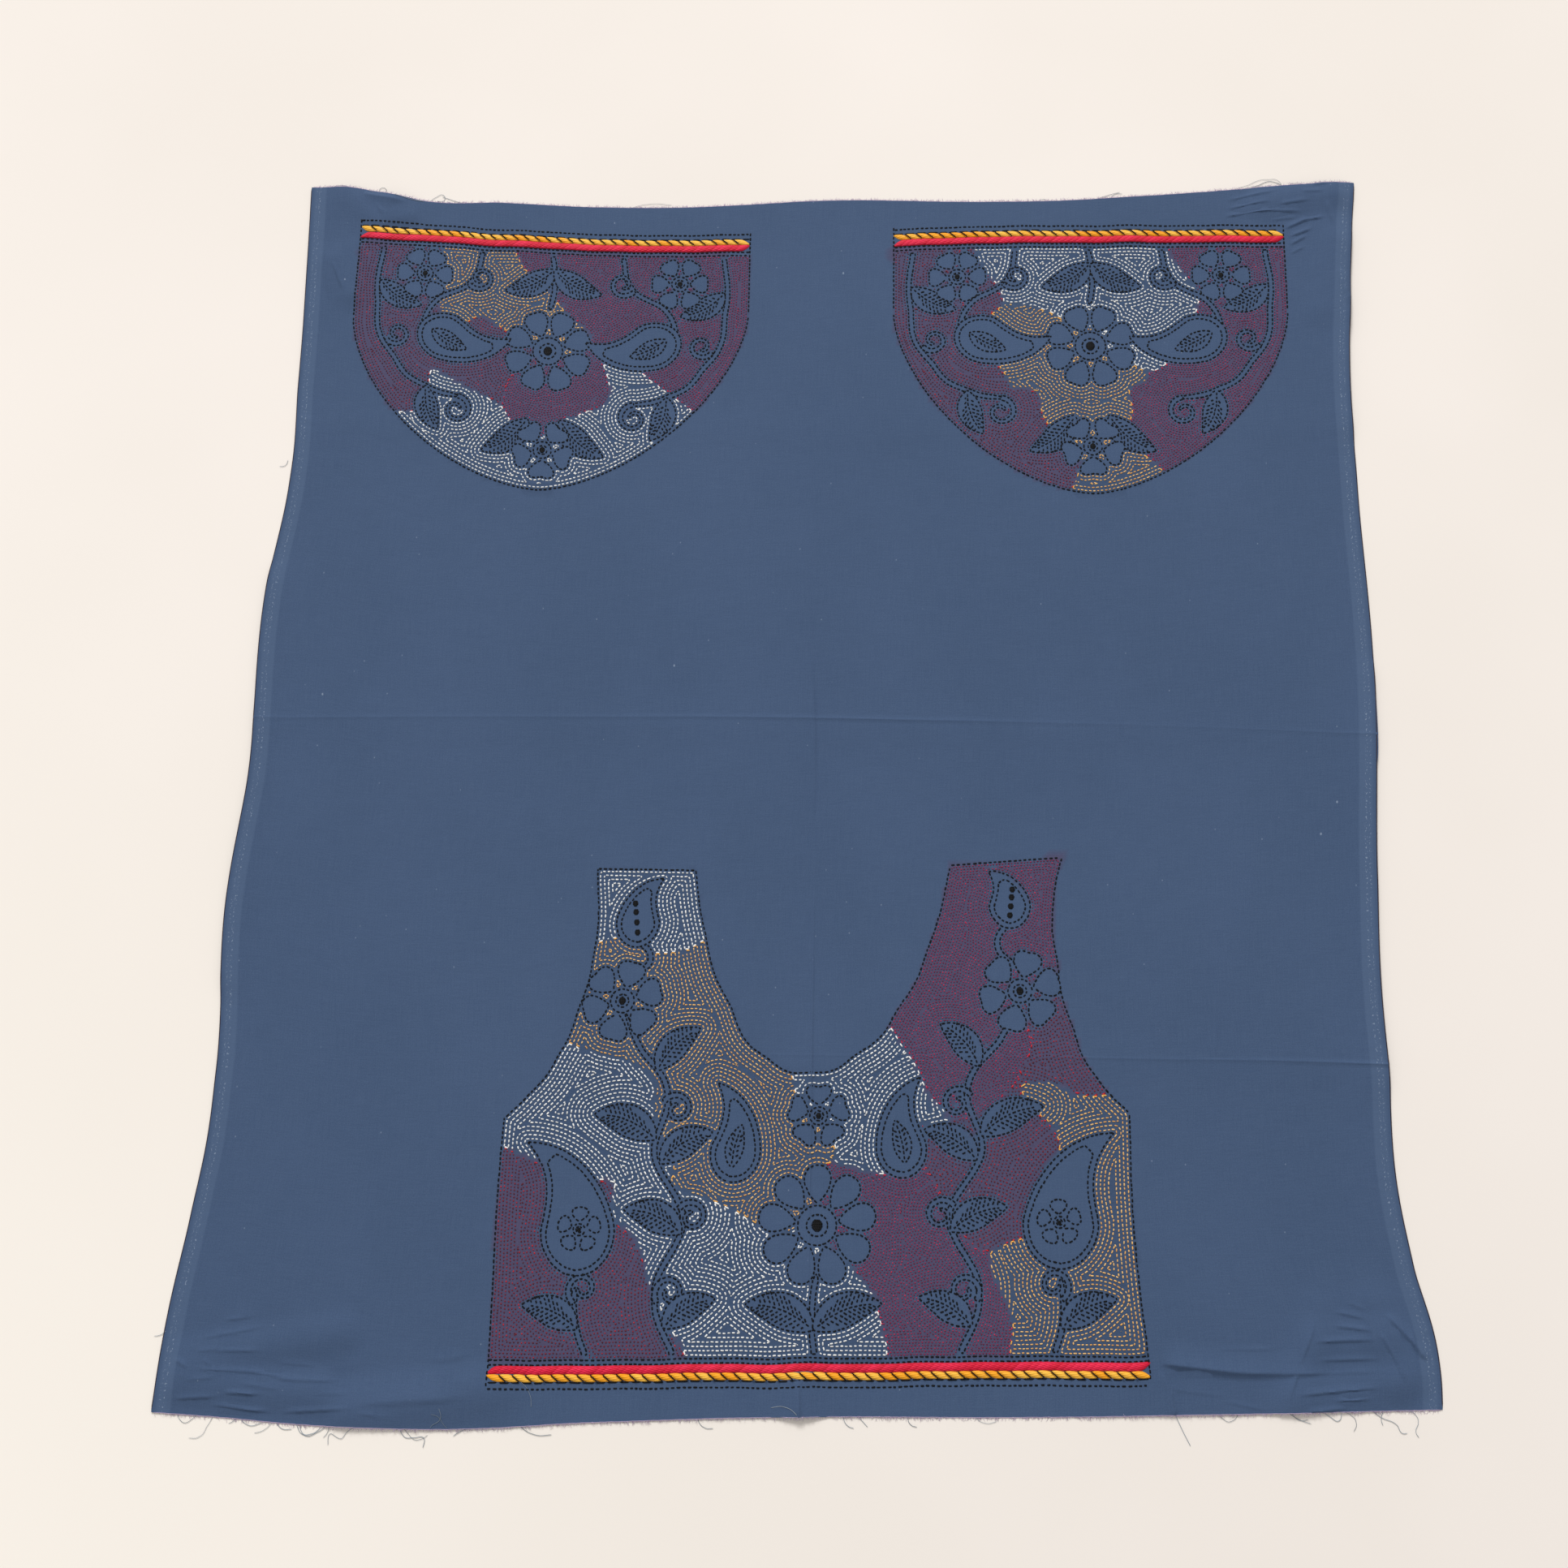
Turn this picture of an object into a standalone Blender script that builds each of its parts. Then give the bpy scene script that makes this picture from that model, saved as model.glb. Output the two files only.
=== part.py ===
# A blouse piece: one cut length of plain handloom cotton that lies flat on a surface. The fronts of a
# blouse and of its two sleeves are embroidered on it, each hem with a raised double band of stitches.
# X runs across the loom from selvedge to selvedge, Y runs along the cut length, and Z is up.

from collections import namedtuple
from math import cos, pi

import bmesh
import bpy
import numpy as np

MM = 0.001

# Driving sizes, in millimetres
LOOM_WIDTH = 914.0
CUT_LENGTH = 1000.0
CLOTH_THICKNESS = 1.2
BAND_WIDTH = 11.0
BAND_RISE = 1.8
BAND_SLOPE = 2.0

# The mesh: cells from side to side, and rows of points between the hem bands
CELLS_ACROSS = 42
ROWS_BETWEEN_BANDS = 36
FIT_PASSES = 6

CLOTH_COLOUR = (0.067, 0.107, 0.195, 1.0)
CLOTH_ROUGHNESS = 0.85

# How far the pulled edges stray outwards from the straight cloth, in millimetres
Stray = namedtuple("Stray", "at out")
LEFT_SELVEDGE = (
    Stray(-512, 16),
    Stray(-442, 11),
    Stray(-370, 1),
    Stray(-260, -8),
    Stray(-125, -3),
    Stray(-24, -11),
    Stray(143, -11),
    Stray(231, -21),
    Stray(322, -21),
    Stray(430, -19),
    Stray(518, -16),
)
RIGHT_SELVEDGE = (
    Stray(-488, 17),
    Stray(-457, 17),
    Stray(-388, 3),
    Stray(-246, -6),
    Stray(-96, -5),
    Stray(62, 3),
    Stray(230, 0),
    Stray(408, 4),
    Stray(512, 14),
)
NEAR_CUT = (
    Stray(-473, 12),
    Stray(-428, 14),
    Stray(-318, 19),
    Stray(-137, 11),
    Stray(7, 4),
    Stray(149, 1),
    Stray(290, -4),
    Stray(429, -10),
    Stray(474, -12),
)
FAR_CUT = (
    Stray(-441, 18),
    Stray(-401, 16),
    Stray(-356, 6),
    Stray(-270, 1),
    Stray(-139, -6),
    Stray(32, 0),
    Stray(159, -3),
    Stray(285, 1),
    Stray(410, 9),
    Stray(471, 12),
)

# The hem bands' middle lines, from their left end to their right end
Band = namedtuple("Band", "x0 y0 x1 y1")
FRONT_BAND = Band(-221, -479.5, 262, -466)
LEFT_SLEEVE_BAND = Band(-390, 473, -52, 456.5)
RIGHT_SLEEVE_BAND = Band(81, 460.5, 409, 461)

# Soft ridges: the middle line, the height there, and the distance at which the cloth is flat again
Ridge = namedtuple("Ridge", "x0 y0 x1 y1 height reach")
FOLD_RIDGES = (
    Ridge(-448, 27, 460, 19, 1.6, 24),
    Ridge(15, -242, 450, -240, 1.4, 24),
    Ridge(11, 305, 12, -88, 1.2, 24),
    Ridge(-431, 286, 455, 282, 0.8, 24),
)
NEAR_RIGHT_RIDGES = (
    Ridge(272, -461, 405, -464, 5.0, 24),
    Ridge(278, -466, 281, -498, 3.5, 20),
    Ridge(392, -421, 365, -489, 2.5, 24),
    Ridge(428, -417, 448, -465, 3.5, 26),
    Ridge(372, -482, 439, -472, 3.0, 22),
    Ridge(388, -443, 432, -439, 2.5, 22),
)
NEAR_LEFT_RIDGES = (
    Ridge(-324, -507, -216, -490, 3.5, 28),
    Ridge(-452, -491, -350, -496, 2.5, 22),
    Ridge(-450, -474, -335, -452, 2.0, 22),
    Ridge(9, -478, 10, -505, 3.0, 22),
)
FAR_RIDGES = (
    Ridge(-366, 515, -355, 490, 4.0, 24),
    Ridge(-376, 487, -408, 511, 3.0, 24),
    Ridge(-414, 445, -401, 414, 2.5, 22),
    Ridge(451, 505, 395, 494, 3.0, 24),
    Ridge(455, 495, 438, 393, 2.0, 24),
)
SELVEDGE_RIDGES = (
    Ridge(-446, 144, -452, -184, 2.2, 26),
    Ridge(459, 454, 457, 288, 2.5, 26),
    Ridge(460, 60, 452, -250, 2.0, 26),
)
RIDGES = FOLD_RIDGES + NEAR_RIGHT_RIDGES + NEAR_LEFT_RIDGES + FAR_RIDGES + SELVEDGE_RIDGES


def smooth_line(points):
    """A function that runs smoothly through (at, value) points, straight on past the first and last."""
    at = np.array([point[0] for point in points], dtype=float)
    value = np.array([point[1] for point in points], dtype=float)
    slope = np.gradient(value, at)

    def line(x):
        i = int(np.clip(np.searchsorted(at, x) - 1, 0, len(at) - 2))
        span = at[i + 1] - at[i]
        t = min(max((x - at[i]) / span, 0.0), 1.0)
        start = value[i] + slope[i] * span * t
        end = value[i + 1] + slope[i + 1] * span * (t - 1.0)
        ease = t * t * (3.0 - 2.0 * t)
        return start + (end - start) * ease

    return line


def outer_edges():
    """The four edges: x of each selvedge for a y, and y of each cut end for an x."""
    half_width = LOOM_WIDTH / 2
    half_length = CUT_LENGTH / 2
    left = smooth_line([(row.at, -half_width - row.out) for row in LEFT_SELVEDGE])
    right = smooth_line([(row.at, half_width + row.out) for row in RIGHT_SELVEDGE])
    near = smooth_line([(row.at, -half_length - row.out) for row in NEAR_CUT])
    far = smooth_line([(row.at, half_length + row.out) for row in FAR_CUT])
    return left, right, near, far


def straight_line(bands):
    """A function for the line that joins the bands, straight on past both ends."""
    at = [x for band in bands for x in (band.x0, band.x1)]
    value = [y for band in bands for y in (band.y0, band.y1)]
    first_slope = (value[1] - value[0]) / (at[1] - at[0])
    last_slope = (value[-1] - value[-2]) / (at[-1] - at[-2])

    def line(x):
        past_start = min(x - at[0], 0.0) * first_slope
        past_end = max(x - at[-1], 0.0) * last_slope
        return float(np.interp(x, at, value)) + past_start + past_end

    return line


def band_rows(line):
    """The four rows of points of a band: the foot and the shoulder on each side of its middle line."""
    shoulder = BAND_WIDTH / 2
    foot = shoulder + BAND_SLOPE
    return [lambda x, offset=offset: line(x) + offset for offset in (-foot, -shoulder, shoulder, foot)]


def between(low, high, share):
    """The row at that share of the way from one row up to another."""
    return lambda x: low(x) + (high(x) - low(x)) * share


def mesh_rows():
    """Every row of the mesh from the near end to the far end, as (y for an x, bands that lie on it)."""
    _, _, near, far = outer_edges()
    front = band_rows(straight_line((FRONT_BAND,)))
    sleeves = band_rows(straight_line((LEFT_SLEEVE_BAND, RIGHT_SLEEVE_BAND)))
    rows = [(near, ()), (between(near, front[0], 0.5), ())]
    rows += [(row, (FRONT_BAND,)) for row in front]
    for i in range(1, ROWS_BETWEEN_BANDS + 1):
        rows.append((between(front[-1], sleeves[0], i / (ROWS_BETWEEN_BANDS + 1)), ()))
    rows += [(row, (LEFT_SLEEVE_BAND, RIGHT_SLEEVE_BAND)) for row in sleeves]
    rows += [(between(sleeves[-1], far, 0.5), ()), (far, ())]
    return rows


def row_points(row, bands):
    """The points of one row from selvedge to selvedge, with a step at each end of the row's bands."""
    left, right, _, _ = outer_edges()
    share = np.linspace(0.0, 1.0, CELLS_ACROSS + 1)
    xs = (share - 0.5) * LOOM_WIDTH
    for _ in range(FIT_PASSES):
        ys = [row(x) for x in xs]
        xs = np.array([left(y) * (1.0 - s) + right(y) * s for s, y in zip(share, ys)])
    for band in bands:
        for end, outwards in ((band.x0, -1), (band.x1, 1)):
            i = int(np.argmin(np.abs(xs - end)))
            xs[i] = end
            xs[i + outwards] = end + outwards * BAND_SLOPE
    return [(x, row(x)) for x in xs]


def ridge_height(ridge, x, y):
    """The height of one ridge at a point: a soft hump round its middle line."""
    along = np.array([ridge.x1 - ridge.x0, ridge.y1 - ridge.y0], dtype=float)
    offset = np.array([x - ridge.x0, y - ridge.y0], dtype=float)
    share = min(max(float(offset @ along) / float(along @ along), 0.0), 1.0)
    away = float(np.linalg.norm(offset - along * share))
    if away >= ridge.reach:
        return 0.0
    return ridge.height * cos(0.5 * pi * away / ridge.reach) ** 2


def cloth_height(x, y):
    """How far the cloth's underside is off the surface, which is nothing between the ridges."""
    return sum(ridge_height(ridge, x, y) for ridge in RIDGES)


def band_height(x, y):
    """How far the stitches of a hem band stand up from the cloth."""
    for band in (FRONT_BAND, LEFT_SLEEVE_BAND, RIGHT_SLEEVE_BAND):
        middle = straight_line((band,))(x)
        beside = abs(y - middle) > BAND_WIDTH / 2 + BAND_SLOPE / 2
        beyond = x < band.x0 - BAND_SLOPE / 2 or x > band.x1 + BAND_SLOPE / 2
        if not beside and not beyond:
            return BAND_RISE
    return 0.0


def make_material():
    material = bpy.data.materials.new("blue_cotton")
    material.use_nodes = True
    shader = material.node_tree.nodes["Principled BSDF"]
    shader.inputs["Base Color"].default_value = CLOTH_COLOUR
    shader.inputs["Roughness"].default_value = CLOTH_ROUGHNESS
    shader.inputs["Metallic"].default_value = 0.0
    return material


def make_cloth():
    """One closed sheet: a grid fitted to the outline, given its underside, then lifted to its folds."""
    points = [point for row, bands in mesh_rows() for point in row_points(row, bands)]
    cells_along = len(points) // (CELLS_ACROSS + 1) - 1
    bm = bmesh.new()
    bmesh.ops.create_grid(bm, x_segments=CELLS_ACROSS, y_segments=cells_along, size=1.0)
    bm.verts.ensure_lookup_table()
    for vert, (x, y) in zip(bm.verts, points):
        vert.co = (x, y, 0.0)
    bmesh.ops.triangulate(bm, faces=bm.faces[:], quad_method="FIXED")
    underside = list(bm.verts)
    raised = bmesh.ops.extrude_face_region(bm, geom=bm.faces[:], use_keep_orig=True)
    upper = [item for item in raised["geom"] if isinstance(item, bmesh.types.BMVert)]
    for vert in underside:
        vert.co.z = cloth_height(vert.co.x, vert.co.y)
    for vert in upper:
        x, y, _ = vert.co
        vert.co.z = cloth_height(x, y) + CLOTH_THICKNESS + band_height(x, y)
    bmesh.ops.recalc_face_normals(bm, faces=bm.faces[:])

    xs = [vert.co.x for vert in bm.verts]
    ys = [vert.co.y for vert in bm.verts]
    middle = ((min(xs) + max(xs)) / 2, (min(ys) + max(ys)) / 2, 0.0)
    bmesh.ops.translate(bm, verts=bm.verts[:], vec=[-value for value in middle])
    bmesh.ops.scale(bm, verts=bm.verts[:], vec=(MM, MM, MM))

    mesh = bpy.data.meshes.new("cloth")
    bm.to_mesh(mesh)
    bm.free()
    mesh.shade_smooth()
    mesh.materials.append(make_material())
    cloth = bpy.data.objects.new("cloth", mesh)
    bpy.context.collection.objects.link(cloth)


def main():
    for item in list(bpy.data.objects):
        bpy.data.objects.remove(item, do_unlink=True)
    make_cloth()


main()
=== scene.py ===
import math
import random

import bmesh
import bpy
import numpy as np
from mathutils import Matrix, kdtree


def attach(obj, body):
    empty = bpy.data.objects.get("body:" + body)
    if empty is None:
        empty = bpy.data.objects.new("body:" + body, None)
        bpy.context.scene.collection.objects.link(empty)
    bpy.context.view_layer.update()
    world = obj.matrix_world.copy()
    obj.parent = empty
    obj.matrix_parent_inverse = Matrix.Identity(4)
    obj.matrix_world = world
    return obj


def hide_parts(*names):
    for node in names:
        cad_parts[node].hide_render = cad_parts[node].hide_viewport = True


# An embroidered blouse piece: a cut length of blue cotton that lies flat. Lengths are in millimetres
# from the middle of the cloth, and become metres where a mesh is made.

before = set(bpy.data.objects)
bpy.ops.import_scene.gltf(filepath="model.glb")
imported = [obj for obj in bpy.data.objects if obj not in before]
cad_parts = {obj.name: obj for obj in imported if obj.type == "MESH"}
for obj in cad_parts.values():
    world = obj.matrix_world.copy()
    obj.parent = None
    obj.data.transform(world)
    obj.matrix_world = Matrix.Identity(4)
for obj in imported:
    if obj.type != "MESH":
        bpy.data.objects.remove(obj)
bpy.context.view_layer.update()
mm = 0.001
rng = random.Random(27)
print("frame loaded")


# camera, at the photograph's angle
imageSide = 1932
camera = {
    "focal": 2150.0,  # in pixels of the square image
    "sensor": 36.0,
    "place": (0.0589, -0.3685, 1.352),
    "turn": (14.285, 2.689, 1.096),  # degrees about x, y and z
}


def makeCamera():
    data = bpy.data.cameras.new("camera")
    data.sensor_width = camera["sensor"]
    data.lens = camera["sensor"] * camera["focal"] / imageSide
    viewer = bpy.data.objects.new("camera", data)
    viewer.location = camera["place"]
    viewer.rotation_euler = [math.radians(angle) for angle in camera["turn"]]
    bpy.context.collection.objects.link(viewer)
    bpy.context.scene.camera = viewer
    bpy.context.scene.view_settings.view_transform = "Standard"


# curves and outlines in the plane of the cloth
def smoothLine(points):
    # value at any place, smoothly through (at, value) points
    at, value = np.array(points, float).T
    slope = np.gradient(value, at)

    def line(x):
        x = np.asarray(x, float)
        i = np.clip(np.searchsorted(at, x) - 1, 0, len(at) - 2)
        span = at[i + 1] - at[i]
        t = np.clip((x - at[i]) / span, 0, 1)
        start = value[i] + slope[i] * span * t
        end = value[i + 1] + slope[i + 1] * span * (t - 1)
        return start + (end - start) * t * t * (3 - 2 * t)

    return line


def arcLength(points):
    steps = np.linalg.norm(np.diff(points, axis=0), axis=1)
    return np.concatenate([[0], np.cumsum(steps)])


def placesAlong(points, at):
    along = arcLength(points)
    return np.stack([np.interp(at, along, column) for column in points.T], 1)


def resample(points, step):
    length = arcLength(points)[-1]
    return placesAlong(points, np.linspace(0, length, max(2, int(round(length / step)) + 1)))


def curveThrough(points, step=1.5):
    points = np.array(points, float)
    knots = arcLength(points)
    at = np.linspace(0, knots[-1], max(3, int(knots[-1] / step) + 1))
    return np.stack([smoothLine(np.stack([knots, column], 1))(at) for column in points.T], 1)


def closed(points):
    return np.concatenate([points, points[:1]])


def turned(points, x, y, angle, flip=1):
    # a motif is drawn along +X, then turned by an angle in degrees and set at (x, y)
    c, s = math.cos(math.radians(angle)), math.sin(math.radians(angle))
    px, py = points[:, 0], points[:, 1] * flip
    return np.stack([x + px * c - py * s, y + px * s + py * c], 1)


def strokeShape(spine, halfWidth):
    # both sides of a spine, at the half width for each share of its length
    spine = np.asarray(spine, float)
    length = arcLength(spine)[-1]
    share = 0.5 - 0.5 * np.cos(np.linspace(0, math.pi, max(12, int(length / 1.6))))
    spine = placesAlong(spine, share * length)
    tangent = np.gradient(spine, share, axis=0)
    tangent /= np.linalg.norm(tangent, axis=1)[:, None]
    side = np.stack([-tangent[:, 1], tangent[:, 0]], 1) * halfWidth(share)[:, None]
    return np.concatenate([spine + side, (spine - side)[::-1]])


def insidePolygon(points, gx, gy):
    inside = np.zeros(gx.shape, bool)
    xs, ys = points.T
    near = (gx >= xs.min()) & (gx <= xs.max()) & (gy >= ys.min()) & (gy <= ys.max())
    px, py = gx[near], gy[near]
    hit = np.zeros(px.shape, bool)
    for x0, y0, x1, y1 in zip(xs, ys, np.roll(xs, -1), np.roll(ys, -1)):
        if y0 != y1:
            hit ^= ((y0 > py) != (y1 > py)) & (px < (x1 - x0) * (py - y0) / (y1 - y0) + x0)
    inside[near] = hit
    return inside


# the cloth: its pulled edges, its folds and its fine creases
cloth = {
    "loomWidth": 914.0,
    "cutLength": 1000.0,
    "thickness": 0.5,
    "cell": 8.0,  # side of the coarse cells of the mesh
    "finer": (  # from x, y to x, y, and how often the cells of the upper side are halved there
        (258, -516, 474, -410, 3), (-472, -522, -222, -438, 2), (-460, -520, -304, -442, 3),
        (-424, 406, -394, 452, 3), (-396, 480, -344, 520, 3), (395, 388, 474, 440, 2),
        (354, 440, 458, 515, 3), (-4, -512, 20, -472, 3), (-286, -386, -272, -360, 3),
        (318, -240, 332, -204, 3), (-448, 280, -400, 302, 2), (-225, -466, 265, -95, 1),
        (-395, 230, -45, 450, 1), (74, 230, 412, 450, 1),
    ),
    "foldRows": (-4.0, -1.8, -0.6, 0.0, 0.6, 1.8, 4.0),  # rows of the mesh beside each pressed fold
    "foldHeight": 0.5,
    "foldReach": 1.7,
    "foldClear": 6.5,  # no other row lies as close to a pressed fold
    "foldPull": (8, 60),  # from here to there, rows bend less and less towards the pressed fold
    "pressedFolds": (  # axis it runs along, share of the other way, its line, its strength along the line
        (0, 0.5306, ((-448, 27), (-188, 29), (14, 29), (76, 28), (206, 26), (460, 18)),
         ((-448, 0.5), (-60, 0.8), (14, 1.0), (110, 1.0), (200, 0.5), (460, 0.6))),
        (0, 0.2560, ((-460, -242), (15, -241), (275, -240), (450, -241.5), (470, -242)),
         ((-460, 0), (15, 0.2), (260, 0.5), (380, 1.0), (456, 1.6))),
        (1, 0.5088, ((-510, 15), (-88, 15), (29, 15), (74, 13), (305, 11), (510, 10)),
         ((-510, 0), (-88, 0), (-15, -1.2), (29, -1.6), (60, -1.1), (110, -0.4), (305, -0.2), (400, 0))),
    ),
    "swell": 0.45,  # height of the slow waves over the whole cloth
    "leftSelvedge": (  # y, and how far the edge strays outwards there
        (-512, 16), (-442, 11), (-370, 1), (-260, -8), (-125, -3), (-24, -11),
        (143, -11), (231, -21), (322, -21), (430, -19), (518, -16),
    ),
    "rightSelvedge": (
        (-488, 17), (-457, 17), (-388, 3), (-246, -6), (-96, -5),
        (62, 3), (230, 0), (408, 4), (512, 14),
    ),
    "nearCut": (  # x, and how far the edge strays outwards there
        (-473, 12), (-428, 14), (-318, 19), (-137, 11), (7, 4), (149, 1), (290, -4), (429, -10), (474, -12),
    ),
    "farCut": (
        (-441, 18), (-401, 16), (-356, 6), (-270, 1), (-139, -6), (32, 0), (159, -3), (285, 1), (410, 9),
        (471, 12),
    ),
    "folds": (  # soft ridges: from x, y to x, y, height, and how far off the cloth is flat again
        (-448, 27, 460, 19, 0.5, 24), (15, -242, 450, -240, 0.45, 24), (11, 305, 12, -88, 0.4, 24),
        (-431, 286, 455, 282, 0.3, 24), (392, -421, 365, -489, 1.4, 24), (428, -417, 448, -465, 2.4, 26),
        (372, -482, 439, -472, 2.0, 22), (388, -443, 432, -439, 1.6, 22), (-324, -507, -216, -490, 3.5, 28),
        (-452, -491, -350, -496, 2.5, 22), (-450, -474, -335, -452, 2.0, 22), (9, -478, 10, -505, 3.0, 22),
        (-366, 515, -355, 490, 4.0, 24), (-376, 487, -408, 511, 3.0, 24), (-414, 445, -401, 414, 2.5, 22),
        (451, 505, 395, 494, 3.0, 24), (455, 495, 438, 393, 2.0, 24), (-446, 144, -452, -184, 2.2, 26),
        (459, 454, 457, 288, 2.5, 26), (460, 60, 452, -250, 2.0, 26),
    ),
    "creases": (  # from x, y to x, y, height at both ends, reach on the left side and on the steep right side
        (271, -461, 330, -464.5, 4.4, 3.2, 20, 9), (330, -464.5, 408, -465, 3.2, 0.8, 20, 7),
        (282, -500, 279, -482, 1.5, 1.6, 12, 4.5), (279, -482, 273, -464, 1.6, 0.8, 10, 4),
        (268, -478, 330, -483, 0.5, 0.2, 8, 4), (303, -450, 369, -448, 0.41, 0.68, 5, 1.6),
        (364, -487, 388, -423, 1.3, 1.0, 7, 1.8), (398, -423, 423, -428, 0.8, 1.1, 5, 1.6),
        (408, -416, 424, -422, 0.41, 0.54, 5, 1.6), (396, -433, 427, -436, 1.0, 1.3, 5, 1.6),
        (381, -444, 431, -442, 1.2, 1.6, 5, 1.8), (379, -457, 435, -455, 0.95, 1.15, 5, 1.6),
        (384, -466, 436, -463, 0.54, 0.41, 6, 2.2), (367, -480, 435, -474, 1.15, 1.9, 6, 2),
        (395, -484, 425, -482, 1.1, 1.7, 4, 1.8), (372, -492, 408, -489, 0.95, 1.7, 5, 1.8),
        (315, -485, 353, -491, 0.27, 0.68, 5, 1.8), (430, -436, 442, -456, 1.0, 1.6, 5, 2),
        (442, -456, 448, -470, 1.6, 0.8, 5, 2), (436, -423, 454, -441, 1.2, 2.8, 9, 5),
        (454, -441, 466, -456, 2.8, 1.5, 9, 5), (260, -380, 296, -401, 0.41, 0.41, 4, 1.8),
        (261, -384, 282, -397, 0.41, 0.27, 4, 1.8), (-445, -461, -389, -448, 0.56, 0.94, 5, 1.71),
        (-438, -469, -388, -466, 0.56, 1.12, 5, 1.71), (-426, -446, -398, -441, 0.75, 0.56, 5, 1.71),
        (-443, -482, -399, -482, 0.94, 1.12, 5, 1.52), (-399, -482, -361, -487, 1.12, 0.75, 5, 1.52),
        (-386, -486, -329, -488, 0.94, 0.75, 5, 1.52), (-421, -497, -388, -497, 1.69, 1.31, 4, 1.52),
        (-460, -503, -421, -500, 0.94, 1.31, 5, 1.52), (-430, -506, -378, -509, 1.5, 1.69, 5, 1.52),
        (-377, -509, -318, -507, 1.31, 0.94, 5, 1.71), (-322, -505, -228, -495, 0.9, 1.6, 14, 6),
        (-271, -472, -230, -464, 0.4, 0.9, 9, 5), (-250, -485, -229, -484, 0.45, 0.6, 4, 1.71),
        (-321, -510, -284, -514, 0.6, 0.45, 4, 1.71), (-446, -470, -420, -466, 0.5, 0.6, 5, 1.7),
        (-452, -490, -424, -487, 0.5, 0.6, 5, 1.7), (-407, -490, -372, -494, 0.6, 0.5, 5, 1.7),
        (-384, -474, -346, -477, 0.4, 0.4, 5, 1.8), (-352, -496, -322, -497, 0.4, 0.4, 5, 1.8),
        (-436, -455, -404, -456, 0.4, 0.4, 5, 1.8), (-460, -475, -448, -482, 1.05, 0.75, 5, 2.38),
        (-439, -474, -428, -483, 0.75, 0.45, 5, 1.9), (-278, -379, -279, -367, 0.4, 0.4, 3, 1.2),
        (324, -236, 325, -208, 0.3, 0.5, 3, 1.2), (11, -508, 8, -474, 1.6, 0.9, 9, 3.0),
        (410, 468, 428, 477, 1.2, 1.65, 5, 1.9), (428, 477, 447, 480, 1.65, 1.05, 5, 1.9),
        (413, 460, 436, 470, 1.35, 1.65, 5, 1.9), (413, 452, 431, 463, 1.35, 1.05, 5, 1.9),
        (412, 443, 428, 452, 0.75, 0.9, 5, 2), (357, 480, 393, 484, 1.05, 1.5, 5, 1.8),
        (393, 484, 430, 485, 1.5, 0.9, 5, 1.8), (360, 487, 402, 494, 1.2, 1.35, 5, 1.9),
        (359, 495, 408, 504, 0.9, 1.2, 5, 2), (404, 490, 436, 496, 1.2, 0.9, 5, 1.9),
        (398, 476, 424, 480, 0.75, 0.75, 4, 1.8), (434, 509, 451, 511, 0.9, 0.9, 4, 1.9),
        (424, 503, 446, 503, 0.75, 0.75, 4, 1.9), (446, 496, 452, 470, 1.2, 1.35, 5, 2.2),
        (451, 428, 461, 415, 1.0, 0.9, 5, 2.2), (464, 424, 467, 471, 0.9, 0.7, 5, 2.2),
        (453, 426, 459, 400, 1.2, 3.0, 9, 4.5), (459, 400, 462, 352, 3.0, 1.2, 9, 4.5),
        (-415, 446, -401, 412, 1.5, 1.5, 4, 1.2), (-400, 513, -352, 499, 2.0, 3.0, 8, 17),
        (-382, 504, -374, 486, 0.9, 0.9, 6, 3), (-369, 508, -357, 501, 1.1, 0.5, 5, 2.5),
        (-421, 443, -414, 405, 0.5, 0.4, 5, 3), (-437, 296, -409, 286, 0.4, 0.3, 5, 2.5),
    ),
}


def clothEdges():
    halfWidth, halfLength = cloth["loomWidth"] / 2, cloth["cutLength"] / 2
    left = smoothLine([(at, -halfWidth - out) for at, out in cloth["leftSelvedge"]])
    right = smoothLine([(at, halfWidth + out) for at, out in cloth["rightSelvedge"]])
    near = smoothLine([(at, -halfLength - out) for at, out in cloth["nearCut"]])
    far = smoothLine([(at, halfLength + out) for at, out in cloth["farCut"]])
    return left, right, near, far


leftEdge, rightEdge, nearEdge, farEdge = clothEdges()


def clothPoint(u, v):
    # the place of a share u of the way across and v of the way along
    x, y = (u - 0.5) * cloth["loomWidth"], (v - 0.5) * cloth["cutLength"]
    for _ in range(6):
        y = nearEdge(x) * (1 - v) + farEdge(x) * v
        x = leftEdge(y) * (1 - u) + rightEdge(y) * u
    return x, y


def clothCentre():
    # the middle of the box round the outline, which is the origin of the model
    edge = np.linspace(0, 1, 400)
    rims = [clothPoint(edge, edge * 0 + end) for end in (0, 1)]
    rims += [clothPoint(edge * 0 + end, edge) for end in (0, 1)]
    xs, ys = [np.concatenate([rim[axis] for rim in rims]) for axis in (0, 1)]
    return np.array([(xs.min() + xs.max()) / 2, (ys.min() + ys.max()) / 2, 0.0])


centre = clothCentre()


def alongRidge(x, y, x0, y0, x1, y1):
    # the share of the way along a ridge that is nearest, and the offset from there, positive on the left
    ax, ay = x1 - x0, y1 - y0
    share = np.clip(((x - x0) * ax + (y - y0) * ay) / (ax * ax + ay * ay), 0, 1)
    dx, dy = x - x0 - ax * share, y - y0 - ay * share
    return share, np.hypot(dx, dy) * np.where(dy * ax - dx * ay < 0, -1, 1)


def fold(x, y, x0, y0, x1, y1, height, reach):
    _, away = alongRidge(x, y, x0, y0, x1, y1)
    return height * np.cos(0.5 * math.pi * np.clip(np.abs(away) / reach, 0, 1)) ** 2


creaseEnds = [row[i : i + 2] for row in cloth["creases"] for i in (0, 2)]


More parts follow.
